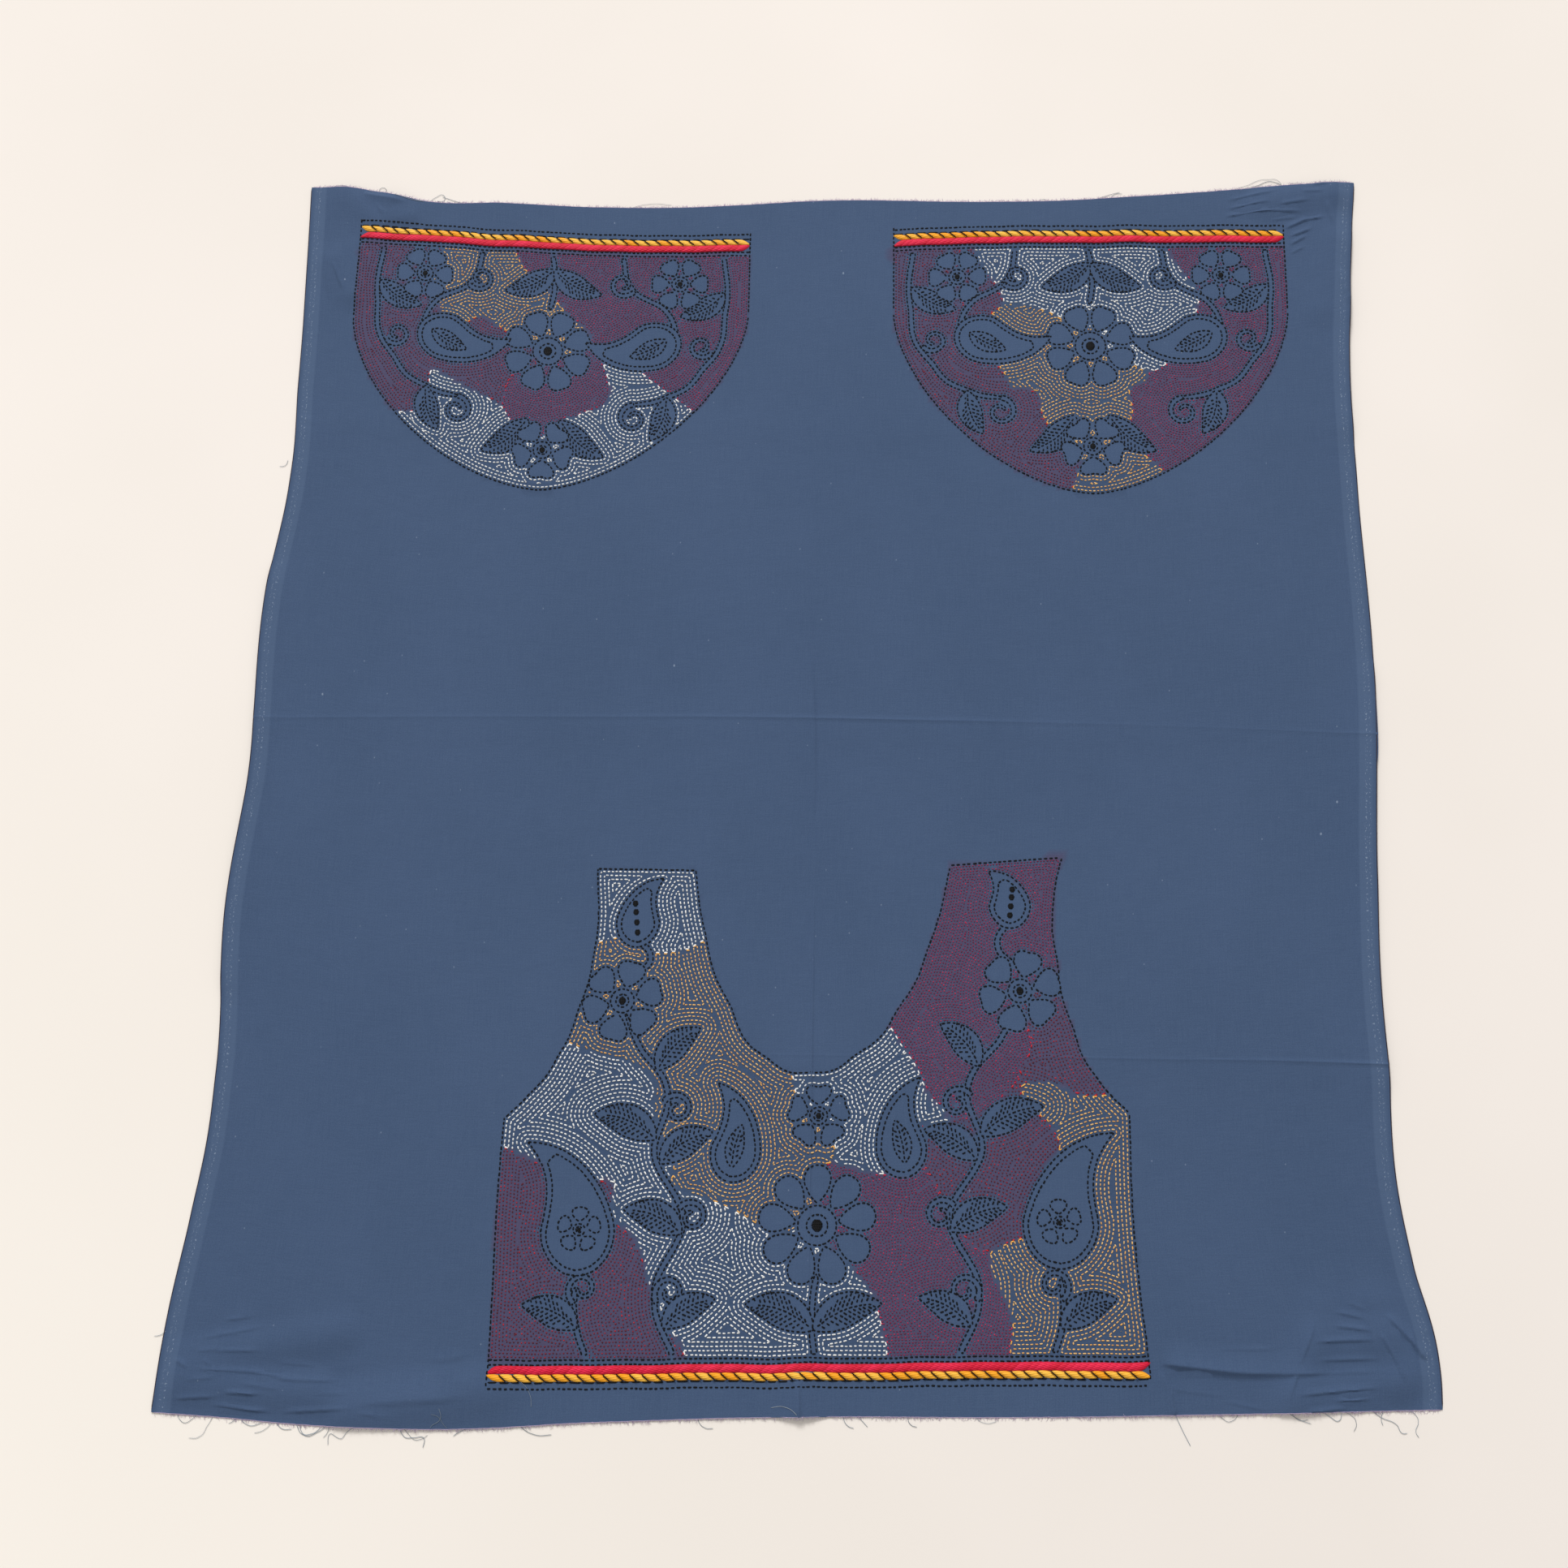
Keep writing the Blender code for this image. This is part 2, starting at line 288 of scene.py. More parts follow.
def crease(x, y, x0, y0, x1, y1, first, last, easy, steep):
    # a sharp crest, with an easy slope on its left and a steep one on its right, that fades at its free ends
    share, away = alongRidge(x, y, x0, y0, x1, y1)
    fades = [creaseEnds.count(end) < 2 for end in ((x0, y0), (x1, y1))]
    height = first + (last - first) * share
    for fade, low, high in zip(fades, (0, 1), (0.3, 0.6)):
        height = height * (ease(share, low, high) if fade else 1)
    slant = np.maximum(np.abs(height) / max(abs(first), abs(last)), 0.4) if steep > 3 else 1.0
    drop = np.clip(np.where(away < 0, -away / (steep * slant), away / easy), 0, 1)
    return height * (1 - drop) ** 2


def ease(value, low, high):
    t = np.clip((value - low) / (high - low), 0, 1)
    return t * t * (3 - 2 * t)


foldLines = [(axis, smoothLine(line), smoothLine(power)) for axis, _, line, power in cloth["pressedFolds"]]


def heightAt(x, y):
    # how far the cloth's underside is off the floor
    x, y = np.asarray(x, float), np.asarray(y, float)
    # creases stray a little from their straight lines
    wander = 0.8 * np.sin(x / 23 + 0.8 * np.sin(y / 61)) + 0.6 * np.sin(y / 17 + x / 83)
    height = np.zeros(x.shape)
    for axis, line, strength in foldLines:
        run, other = (y, x) if axis else (x, y)
        away = np.clip(np.abs(other - line(run)) / cloth["foldReach"], 0, 1)
        height = height + cloth["foldHeight"] * strength(run) * np.cos(0.5 * math.pi * away) ** 2
    for row in cloth["folds"]:
        height = height + fold(x, y, *row)
    highest, lowest = np.zeros(x.shape), np.zeros(x.shape)
    for row in cloth["creases"]:
        rise = crease(x + wander, y + wander, *row)
        highest, lowest = np.maximum(highest, rise), np.minimum(lowest, rise)
    height = height + highest + lowest
    # slow waves of the whole cloth
    swell = np.sin(x / 47 + 1.7 * np.sin(y / 90)) + np.sin(y / 53 + 1.3 * np.sin(x / 71))
    return np.maximum(height + cloth["swell"] * (1 + 0.5 * swell), 0.02)


def topAt(x, y):
    return heightAt(x, y) + cloth["thickness"]


# meshes
def link(name, mesh, finish):
    mesh.shade_smooth()
    mesh.materials.append(finish)
    piece = bpy.data.objects.new(name, mesh)
    bpy.context.collection.objects.link(piece)
    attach(piece, "root")
    return piece


def meshFromArrays(name, points, faces, uvs, tones):
    # a joined mesh of many small parts, from arrays in millimetres
    mesh = bpy.data.meshes.new(name)
    mesh.vertices.add(len(points))
    mesh.vertices.foreach_set("co", ((points - centre) * mm).astype(np.float32).ravel())
    mesh.loops.add(faces.size)
    mesh.loops.foreach_set("vertex_index", faces.astype(np.int32).ravel())
    mesh.polygons.add(len(faces))
    mesh.polygons.foreach_set("loop_start", np.arange(0, faces.size, faces.shape[1], dtype=np.int32))
    mesh.update(calc_edges=True)
    layer = mesh.uv_layers.new(name="thread")
    layer.data.foreach_set("uv", uvs[faces.ravel()].astype(np.float32).ravel())
    tone = mesh.attributes.new("tone", "FLOAT", "POINT")
    tone.data.foreach_set("value", tones.astype(np.float32))
    mesh.validate()
    return mesh


def grainShape(sides, rings, square=False):
    # one stitch of unit length along X: a closed grain with its poles at both ends
    bm = bmesh.new()
    bmesh.ops.create_uvsphere(bm, u_segments=sides, v_segments=rings, radius=0.5)
    bmesh.ops.triangulate(bm, faces=bm.faces[:])
    points = np.array([vert.co[:] for vert in bm.verts])
    faces = np.array([[vert.index for vert in face.verts] for face in bm.faces])
    faces = np.array([np.roll(face, -face.argmin()) for face in faces])
    faces = faces[np.lexsort(faces.T)]  # the same order in each run
    bm.free()
    along, across, up = points[:, 2], points[:, 0], points[:, 1]
    if square:
        # a plump loop is nearly oblong from above
        angle = np.arctan2(across, along)
        fuller = (np.abs(np.cos(angle)) ** 4 + np.abs(np.sin(angle)) ** 4) ** -0.25
        return np.stack([along * fuller, across * fuller, up], 1), faces
    stretched = 0.5 * np.sign(along) * np.abs(2 * along) ** 0.6
    return np.stack([stretched, across * 1.15, up * 1.15], 1), faces


grains = {"fine": grainShape(5, 2), "full": grainShape(6, 3), "loop": grainShape(8, 8, True)}


def layStitches(name, starts, ends, width, height, tones, finish, grain, lift=0.3, shear=0.0):
    # one mesh of stitches that lie on the cloth from start to end, each arched and sunk at both ends
    points, faces = grains[grain]
    starts, ends = np.asarray(starts, float), np.asarray(ends, float)
    count = len(starts)
    width = np.broadcast_to(width, (count,))
    run = ends - starts
    length = np.hypot(*run.T)
    unit = run / length[:, None]
    side = np.stack([-unit[:, 1], unit[:, 0]], 1)
    middle = (starts + ends) / 2
    along, across, up = points.T
    sideways = across[None, :, None] * width[:, None, None]
    onward = along[None, :, None] * length[:, None, None]
    onward = onward + (shear * across)[None, :, None] * width[:, None, None]
    xy = middle[:, None, :] + onward * unit[:, None, :] + sideways * side[:, None, :]
    z0, z1 = topAt(*starts.T), topAt(*ends.T)
    base = z0[:, None] + (z1 - z0)[:, None] * (along[None, :] + 0.5)
    arch = up + lift - 0.3 * (2 * along) ** 2
    z = base + arch[None, :] * height * (width / width.mean())[:, None]
    vertices = np.concatenate([xy, z[:, :, None]], axis=2).reshape(-1, 3)
    allFaces = (faces[None] + (np.arange(count) * len(points))[:, None, None]).reshape(-1, 3)
    around = np.arctan2(across, up) / (2 * math.pi)
    forward = (along[None, :] + 0.5) * length[:, None] * mm
    uvs = np.stack([forward, np.broadcast_to(around, forward.shape)], 2).reshape(-1, 2)
    mesh = meshFromArrays(name, vertices, allFaces, uvs, np.repeat(tones, len(points)))
    return link(name, mesh, finish)


def layThreads(name, routes, radius, finish, sides):
    # one mesh of thin threads, each along its own route of points in millimetres
    angles = np.arange(sides) * 2 * math.pi / sides
    cosine, sine = np.cos(angles)[None, :, None], np.sin(angles)[None, :, None]
    points, faces, uvs, shades, offset = [], [], [], [], 0
    for k, route in enumerate(routes):
        route = np.asarray(route, float)
        tangent = np.gradient(route, axis=0)
        tangent /= np.linalg.norm(tangent, axis=1)[:, None]
        side = np.cross(tangent, (0, 0, 1))
        side /= np.maximum(np.linalg.norm(side, axis=1)[:, None], 1e-6)
        rise = np.cross(side, tangent)
        thick = np.full(len(route), radius if np.isscalar(radius) else radius[k])
        thick[[0, -1]] *= 0.35
        spokes = side[:, None, :] * cosine + rise[:, None, :] * sine
        points.append((route[:, None, :] + thick[:, None, None] * spokes).reshape(-1, 3))
        i, j = np.meshgrid(np.arange(len(route) - 1), np.arange(sides), indexing="ij")
        a, b = i * sides + j, i * sides + (j + 1) % sides
        c, d = a + sides, b + sides
        walls = np.stack([np.stack([a, b, d], -1), np.stack([a, d, c], -1)], 2).reshape(-1, 3)
        first, last = np.arange(sides), np.arange(sides) + (len(route) - 1) * sides
        caps = [[first[0], first[n + 1], first[n]] for n in range(1, sides - 1)]
        caps += [[last[0], last[n], last[n + 1]] for n in range(1, sides - 1)]
        faces.append(np.concatenate([walls, caps]) + offset)
        along = arcLength(route) * mm
        uvs.append(np.stack([np.repeat(along, sides), np.tile(angles / (2 * math.pi), len(route))], 1))
        shades.append(np.full(len(route) * sides, rng.random()))
        offset += len(route) * sides
    joined = [np.concatenate(parts) for parts in (points, faces, uvs, shades)]
    return link(name, meshFromArrays(name, *joined), finish)


# finishes
class Wire:
    # a value or colour on its way through a finish
    def __init__(self, finish, socket):
        self.finish = finish
        self.socket = socket

    def maths(self, operation, first, second):
        return self.finish.node("Math", {"operation": operation}, {0: first, 1: second})

    def __add__(self, other):
        return self.maths("ADD", self, other)

    def __sub__(self, other):
        return self.maths("SUBTRACT", self, other)

    def __rsub__(self, other):
        return self.maths("SUBTRACT", other, self)

    def __mul__(self, other):
        return self.maths("MULTIPLY", self, other)

    __radd__ = __add__
    __rmul__ = __mul__


class Finish:
    def __init__(self, name, roughness=0.8, sheen=0.0, gloss=0.5):
        self.material = bpy.data.materials.new(name)
        self.material.use_nodes = True
        self.tree = self.material.node_tree
        self.shader = self.tree.nodes["Principled BSDF"]
        self.shader.inputs["Roughness"].default_value = roughness
        self.shader.inputs["Sheen Weight"].default_value = sheen
        self.shader.inputs["Sheen Roughness"].default_value = 0.4
        self.shader.inputs["Specular IOR Level"].default_value = gloss

    def node(self, kind, settings=None, sockets=None, output=0):
        made = self.tree.nodes.new("ShaderNode" + kind)
        for key, value in (settings or {}).items():
            setattr(made, key, value)
        for key, value in (sockets or {}).items():
            self.feed(made.inputs[key], value)
        return Wire(self, made.outputs[output])

    def feed(self, socket, value):
        if isinstance(value, Wire):
            self.tree.links.new(value.socket, socket)
        else:
            socket.default_value = value

    def colour(self, value):
        self.feed(self.shader.inputs["Base Color"], value)

    def mix(self, share, first, second):
        settings = {"data_type": "RGBA", "clamp_factor": True}
        return self.node("Mix", settings, {0: share, 6: first, 7: second}, output=2)

    def sine(self, value):
        return self.node("Math", {"operation": "SINE"}, {0: value})

    def smooth(self, value, low, high, to0=0.0, to1=1.0):
        settings = {"interpolation_type": "SMOOTHSTEP", "clamp": True}
        return self.node("MapRange", settings, {0: value, 1: low, 2: high, 3: to0, 4: to1})

    def noise(self, vector, scale, detail=2.0, roughness=0.5):
        sockets = {0: vector, 2: scale, 3: detail, 4: roughness}
        return self.node("TexNoise", {"noise_dimensions": "3D"}, sockets)

    def stretched(self, vector, x, y, z=1.0):
        return self.node("VectorMath", {"operation": "MULTIPLY"}, {0: vector, 1: (x, y, z)})

    def bump(self, height, distance, strength=1.0):
        bumped = self.node("Bump", {}, {"Height": height, "Distance": distance, "Strength": strength})
        self.feed(self.shader.inputs["Normal"], bumped)

    def axes(self, vector):
        parts = self.tree.nodes.new("ShaderNodeSeparateXYZ")
        self.feed(parts.inputs[0], vector)
        return [Wire(self, output) for output in parts.outputs]


def linear(red, green, blue):
    # a screen colour from 0 to 255 as the shader wants it
    parts = [value / 255 for value in (red, green, blue)]
    return tuple(v / 12.92 if v <= 0.04045 else ((v + 0.055) / 1.055) ** 2.4 for v in parts) + (1.0,)


def clothFinish():
    look = {
        "blue": linear(69, 89, 121),
        "deep": linear(65, 85, 116),
        # dark: the darker yarn of the grain, and the painted shade between the stitches of worked cloth
        "dark": linear(44, 60, 86),
        "pale": linear(84, 104, 134),
        "flush": linear(94, 32, 62),  # where red or magenta thread shows through
        "lint": linear(170, 185, 205),
        "yarn": 0.42 * mm,
    }
    made = Finish("blueCotton", 0.9, 0.03, 0.25)
    weave = made.node("UVMap", {"uv_map": "weave"})
    across, along, _ = made.axes(weave)
    blotch = made.noise(made.stretched(weave, 9, 6), 1.0, 3.0, 0.6)
    warpStreak = made.noise(made.stretched(weave, 1300, 45), 1.0, 3.0, 0.6)
    weftStreak = made.noise(made.stretched(weave, 55, 1200), 1.0, 3.0, 0.6)
    streaks = warpStreak * 0.55 + weftStreak * 0.45
    colour = made.mix(made.smooth(blotch, 0.3, 0.7, 0.25, 1.0), look["deep"], look["blue"])
    colour = made.mix(made.smooth(streaks, 0.36, 0.64, 0.0, 0.24), colour, look["pale"])

    grain = made.noise(made.stretched(weave, 1100, 900), 1.0, 2.0, 0.6)
    colour = made.mix(made.smooth(grain, 0.34, 0.66, 0.2, 0.0), colour, look["dark"])

    # the selvedge strip and its flecks, and lint
    half = cloth["loomWidth"] / 2 * mm
    inward = half - made.node("Math", {"operation": "ABSOLUTE"}, {0: across - half})
    strip = made.smooth(inward, 14.5 * mm, 12.5 * mm) * made.smooth(inward, 1 * mm, 4 * mm)
    colour = made.mix(strip * 0.46, colour, look["pale"])
    colour = made.mix(made.smooth(inward, 6 * mm, 2 * mm) * 0.25, colour, look["deep"])
    flecks = made.noise(made.stretched(weave, 900, 620), 1.0, 1.0)
    for column, strength in ((8.0, 0.44), (5.0, 0.26)):
        away = made.node("Math", {"operation": "ABSOLUTE"}, {0: inward - column * mm})
        spots = made.smooth(away, 1.2 * mm, 0.4 * mm) * made.smooth(flecks, 0.56, 0.7)
        colour = made.mix(spots * strength, colour, look["lint"])
    cell = {"feature": "F1", "distance": "EUCLIDEAN"}
    lint = made.node("TexVoronoi", cell, {0: made.stretched(weave, 24, 17), 2: 1.0})
    colour = made.mix(made.smooth(lint, 0.024, 0.012, 0.0, 0.4), colour, look["lint"])
    nep = made.node("TexVoronoi", cell, {0: made.stretched(weave, 61, 47), 2: 1.0})
    colour = made.mix(made.smooth(nep, 0.045, 0.02, 0.0, 0.22), colour, look["lint"])
    flush = made.node("Attribute", {"attribute_name": "flush"}, output=2)
    worked = made.node("Attribute", {"attribute_name": "worked"}, output=2)
    # painted shade: worked cloth between the stitches is darkened, except where red or magenta shows through
    colour = made.mix(worked * (1 - flush) * 0.3, colour, look["dark"])
    colour = made.mix(flush * 0.34, colour, look["flush"])
    made.colour(colour)

    warp = made.sine(across * (2 * math.pi / look["yarn"]))
    weft = made.sine(along * (2 * math.pi / look["yarn"]))
    plain = warp * weft
    pucker = made.noise(made.stretched(weave, 230, 230), 1.0, 2.0, 0.55)
    ripple = made.noise(made.stretched(weave, 34, 60), 1.0, 3.0, 0.55)
    made.bump(plain * 0.05 + streaks * 0.3 + pucker * worked * 1.1 + ripple * 0.9, 0.55 * mm, 0.9)
    return made.material


def threadFinish(name, dark, mid, light, sheen, gloss):
    # twisted cotton thread: slanting plies, a little lighter or darker from stitch to stitch
    plyCount, plyLength = 3, 1.5 * mm
    made = Finish(name, 0.65, sheen, gloss)
    along, around, _ = made.axes(made.node("UVMap", {"uv_map": "thread"}))
    tone = made.node("Attribute", {"attribute_name": "tone"}, output=2)
    plies = made.sine(around * (2 * math.pi * plyCount) + along * (2 * math.pi / plyLength))
    colour = made.mix(made.smooth(tone, 0.0, 0.8), dark, mid)
    colour = made.mix(made.smooth(tone, 0.75, 1.0), colour, light)
    # painted shade: the furrows between the plies are darkened
    colour = made.mix(made.smooth(plies, -1.0, 0.2, 0.35, 0.0), colour, dark)
    made.colour(colour)
    made.bump(plies, 0.12 * mm, 0.7)
    return made.material


def strandFinish(name, dark, mid, light, strands, lay):
    # a plump stitch of many loose strands that lie side by side
    made = Finish(name, 0.6, 0.05, 0.3)
    along, around, _ = made.axes(made.node("UVMap", {"uv_map": "thread"}))
    tone = made.node("Attribute", {"attribute_name": "tone"}, output=2)
    wander = made.noise(made.node("TexCoord", output=3), 700.0, 2.0)
    lines = made.sine(around * (2 * math.pi * strands) + along * 900.0 * lay + wander * 3.0)
    colour = made.mix(made.smooth(tone, 0.0, 1.0), mid, light)
    # painted shade: the grooves between the strands are darkened
    colour = made.mix(made.smooth(lines, -1.0, -0.2, 0.5, 0.0), colour, dark)
    made.colour(colour)
    made.bump(lines, 0.14 * mm, 0.7)
    return made.material


def plainThread(name, colour, other):
    made = Finish(name, 0.8, 0.2)
    tone = made.node("Attribute", {"attribute_name": "tone"}, output=2)
    made.colour(made.mix(tone, colour, other))
    made.bump(made.noise(made.node("TexCoord", output=3), 2500.0), 0.05 * mm, 0.5)
    return made.material


def floorFinish():
    made = Finish("paleFloor", 0.9)
    place = made.node("TexCoord", output=3)
    mottle = made.noise(place, 2.2, 3.0)
    left, far, _ = made.axes(place)
    paintedLight = made.smooth((left + far * 0.8) * -1.0, 0.0, 1.6)  # painted light: the floor is lighter towards the near left
    colour = made.mix(made.smooth(mottle, 0.3, 0.7), linear(239, 231, 223), linear(243, 235, 228))
    made.colour(made.mix(paintedLight, colour, linear(253, 246, 236)))
    return made.material


threadColours = {  # painted shade in the furrows between the plies and on the darkest stitches, on most stitches, and on the lightest
    "black": ((5, 6, 8), (10, 11, 15), (20, 22, 28)),
    "white": ((215, 216, 216), (248, 248, 245), (254, 253, 250)),
    "gold": ((214, 158, 88), (242, 200, 132), (250, 184, 84)),
    "red": ((84, 10, 28), (138, 18, 42), (220, 24, 38)),
    "magenta": ((116, 18, 58), (164, 30, 82), (220, 32, 76)),
}
finishes = {}
for colour, shades in threadColours.items():
    sheen, gloss = (0.0, 0.2) if colour == "black" else (0.08, 0.35)
    finishes[colour] = threadFinish(colour + "Thread", *[linear(*shade) for shade in shades], sheen, gloss)
ropeColours = {  # painted shade between the strands, on most stitches, and on the lightest, then how many strands show and how they lean
    "yellow": ((214, 124, 8), (252, 168, 18), (255, 200, 76), 11.0, -0.6),
    "red": ((160, 2, 32), (214, 4, 50), (236, 30, 74), 15.0, 1.2),
}
ropes = {}
for colour, (*shades, strands, lay) in ropeColours.items():
    ropes[colour] = strandFinish(colour + "Strands", *[linear(*shade) for shade in shades], strands, lay)
print("finishes made")


# the needlework's drawing: shapes that lie over each other, and the lines that are worked in black
class Drawing:
    def __init__(self, place):
        self.place = place
        self.shapes = []
        self.lines = []
        self.dots = []

    def shape(self, points):
        self.shapes.append(self.place(points))
        self.line(closed(points))

    def line(self, points):
        self.lines.append((self.place(np.asarray(points, float)), len(self.shapes)))

    def dot(self, x, y, radius):
        self.dots.append((self.place(np.array([[x, y]], float))[0], radius, len(self.shapes)))

    def stem(self, points, width=4.0):
        self.shape(strokeShape(curveThrough(points), lambda t: width / 2 * np.minimum(1, (1 - t) * 9 + 0.35)))

    def tendril(self, x, y, radius, angle, flip=1, turns=1.2):
        t = np.linspace(0, 1, 90)
        r = radius * (1 - 0.72 * t)
        a = t * turns * 2 * math.pi
        spiral = np.stack([r * np.sin(a), radius - r * np.cos(a)], 1)
        self.shape(turned(strokeShape(spiral, lambda t: 2.1 - 0.9 * t), x, y, angle, flip))

    def leaf(self, x, y, length, width, angle, bend=0.1):
        bend = math.copysign(bend, math.cos(math.radians(angle)))
        t = np.linspace(0, 1, 40)
        spine = np.stack([t * length, bend * length * np.sin(t * math.pi)], 1)

        def half(t):
            return width / 2 * np.sin(math.pi * np.clip(t, 0.01, 0.99) ** 0.85) ** 0.85

        self.shape(turned(strokeShape(spine, half), x, y, angle))
        self.line(turned(spine[2:-5], x, y, angle))
        for share in np.arange(0.1, 0.86, 3.7 / length):
            foot = np.array([share * length, bend * length * math.sin(share * math.pi)])
            reach = width / 2 * math.sin(math.pi * share ** 0.85) ** 0.85 - 1.6
            for side in (-1, 1):
                tip = foot + [reach * 0.85, side * reach]
                start = foot + [1.2, side * 1.5]
                if reach > 3:
                    self.line(turned(np.array([start, tip]), x, y, angle))

    def flower(self, x, y, radius, petals, angle=0, notch=0.0, eye=0.3):
        t = np.linspace(0, 2 * math.pi, 40)[:-1]
        inner = radius * eye
        half = math.pi / petals * radius * 0.84
        for i in range(petals):
            along = inner + 1.5 + (radius - inner) * (1 - np.cos(t)) / 2
            across = half * np.sin(t) * np.abs(np.sin(t / 2)) ** 0.8
            along = along - notch * radius * np.exp(-(across / half * 2.6) ** 2) * (np.cos(t) < 0)
            petal = np.stack([along, across], 1)
            self.shape(turned(petal, x, y, angle + 360 * i / petals))
        ring = np.stack([np.cos(t), np.sin(t)], 1)
        self.shape(ring * inner + [x, y])
        self.line(closed(ring * inner * 0.55 + [x, y]))
        self.dot(x, y, inner * 0.3)

    def paisley(self, x, y, length, width, angle, flip=1, inside="leaf"):
        t = np.linspace(0, 1, 80)
        spine = np.stack([length * (t - 0.13 * t ** 4), 0.4 * length * t ** 3], 1)
        head = width / 2 / length * 1.15

        def profile(t, inset=0.0):
            p = np.clip(t / head, 0, 1)
            q = np.clip((t - head) / (1 - head), 0, 1)
            body = width / 2 * (1 - q ** 1.25)
            rounded = np.sqrt(np.maximum((width / 2 - inset) ** 2 - (width / 2 * (1 - p)) ** 2, 0))
            return np.where(t < head, rounded, np.maximum(body - inset, 0.2))

        self.shape(turned(strokeShape(spine, profile), x, y, angle, flip))
        first, last = 3.8 / length, 0.86 - 3.8 / length
        trimmed = np.stack([np.interp(np.linspace(first, last, 80), t, spine[:, i]) for i in (0, 1)], 1)
        inner = strokeShape(trimmed, lambda t: profile(first + t * (last - first), 3.8))
        self.line(closed(turned(inner, x, y, angle, flip)))
        c, s = math.cos(math.radians(angle)), math.sin(math.radians(angle))
        if inside == "flower":
            a = 0.3 * length
            self.flower(x + a * c, y + a * s, width * 0.27, 5, angle)
        elif inside == "leaf":
            a = 0.14 * length
            self.leaf(x + a * c, y + a * s, length * 0.42, width * 0.36, angle + 4 * flip, 0.05 * flip)
        else:
            for share in (0.2, 0.34, 0.48, 0.6):
                self.dot(x + share * length * c, y + share * length * s + 0.03 * length * share * flip, 2.2)


def dashes(points, stitch, gap, rng):
    # start and end of every stitch along a line
    along = arcLength(points)
    if along[-1] < stitch * 0.8:
        return np.zeros((0, 4))
    count = int(along[-1] / (stitch + gap)) + 2
    pieces = [(stitch * rng.uniform(0.82, 1.18), gap * rng.uniform(0.75, 1.25)) for _ in range(count)]
    pieces = np.array(pieces)
    starts = np.concatenate([[0], np.cumsum(pieces.sum(axis=1))[:-1]]) + rng.uniform(0, gap)
    ends = starts + pieces[:, 0]
    keep = ends < along[-1] + 0.3 * stitch
    at = [np.interp(v[keep], along, points[:, i]) for v in (starts, ends) for i in (0, 1)]
    unsteady = [rng.gauss(0, 0.13) for _ in range(4 * keep.sum())]
    return np.stack(at, 1) + np.array(unsteady).reshape(-1, 4)


def isolines(field, level, x0, y0, step):
    # lines where the field crosses a level, from a grid cut into triangles; nan is outside
    rows, cols = field.shape
    above = field > level
    bad = np.isnan(field)
    index = np.arange(rows * cols).reshape(rows, cols)
    a, b, c, d = (index[:-1, :-1], index[:-1, 1:], index[1:, :-1], index[1:, 1:])
    flatAbove, flatBad, flat = above.ravel(), bad.ravel(), field.ravel()
    segments = []
    for tri in ((a, b, d), (a, d, c)):
        corners = np.stack([t.ravel() for t in tri], 1)
        hits = flatAbove[corners]
        mixed = (hits.any(axis=1) & ~hits.all(axis=1)) & ~flatBad[corners].any(axis=1)
        corners, hits = corners[mixed], hits[mixed]
        odd = np.where(hits.sum(axis=1) == 1, hits.argmax(axis=1), (~hits).argmax(axis=1))
        rowsIndex = np.arange(len(corners))
        apex = corners[rowsIndex, odd]
        for k in (1, 2):
            other = corners[rowsIndex, (odd + k) % 3]
            low, high = np.minimum(apex, other), np.maximum(apex, other)
            segments.append(low * (rows * cols) + high)
    if not segments:
        return []
    pairs = list(zip(np.concatenate(segments[0::2]).tolist(), np.concatenate(segments[1::2]).tolist()))
    links = {}
    for p, q in pairs:
        links.setdefault(p, []).append(q)
        links.setdefault(q, []).append(p)

    def walk(start):
        chain = [start]
        while links[chain[-1]]:
            after = links[chain[-1]].pop()
            links[after].remove(chain[-1])
            chain.append(after)
        return chain

    chains = [walk(p) for p in list(links) if len(links[p]) == 1]
    chains += [walk(p) for p in list(links) if links[p]]
    lines = []
    for chain in chains:
        if len(chain) < 4:
            continue
        edge = np.array(chain)
        low, high = edge // (rows * cols), edge % (rows * cols)
        share = ((level - flat[low]) / (flat[high] - flat[low]))[:, None]
        p = np.stack([x0 + low % cols * step, y0 + low // cols * step], 1)
        q = np.stack([x0 + high % cols * step, y0 + high // cols * step], 1)
        lines.append(p + (q - p) * share)
    return lines


# the blouse front and the sleeves, in millimetres from the middle of the cloth
def frontHem(x):
    return -479.5 + (x + 221) * 0.028


sleeveHem = smoothLine([(-460, 476), (-390, 473), (-52, 456.5), (81, 460.5), (409, 461), (460, 461)])


def frontOutline():
    leftSide = curveThrough([(-222, -488), (-222, -420), (-222, -340), (-220.5, -292)])
    leftArm = [(-220, -292), (-203, -275), (-181, -244), (-167, -208), (-157, -165), (-157, -96.5)]
    leftArm = curveThrough(leftArm)
    neck = curveThrough([
        (-79, -97), (-70, -147), (-49, -203), (-20, -243), (14, -254),
        (49, -240), (82, -203), (105, -155), (122, -91),
    ])
    rightArm = curveThrough([(209, -84), (202, -120), (204, -165), (215, -217), (233, -256), (255, -280)])
    rightSide = curveThrough([(256, -282), (258, -384), (264, -450), (266, -474)])
    leftStrap, rightStrap = np.array([(-157, -96.5), (-79, -97)]), np.array([(122, -91), (209, -84)])
    return [leftSide, leftArm, leftStrap, neck, rightStrap, rightArm, rightSide]


def sleeveOutline(centre, width, drop):
    t = np.linspace(0, math.pi, 90)
    power = 2 / 1.65
    x = centre - width / 2 * np.sign(np.cos(t)) * np.abs(np.cos(t)) ** power
    y = 390 - (390 - drop) * np.sin(t) ** power
    top = sleeveHem(x[[0, -1]]) + 12.5
    leftSide, rightSide = np.array([(x[0], top[0]), (x[0], 392)]), np.array([(x[-1], 392), (x[-1], top[1])])
    return [leftSide, np.stack([x, y], 1), rightSide]


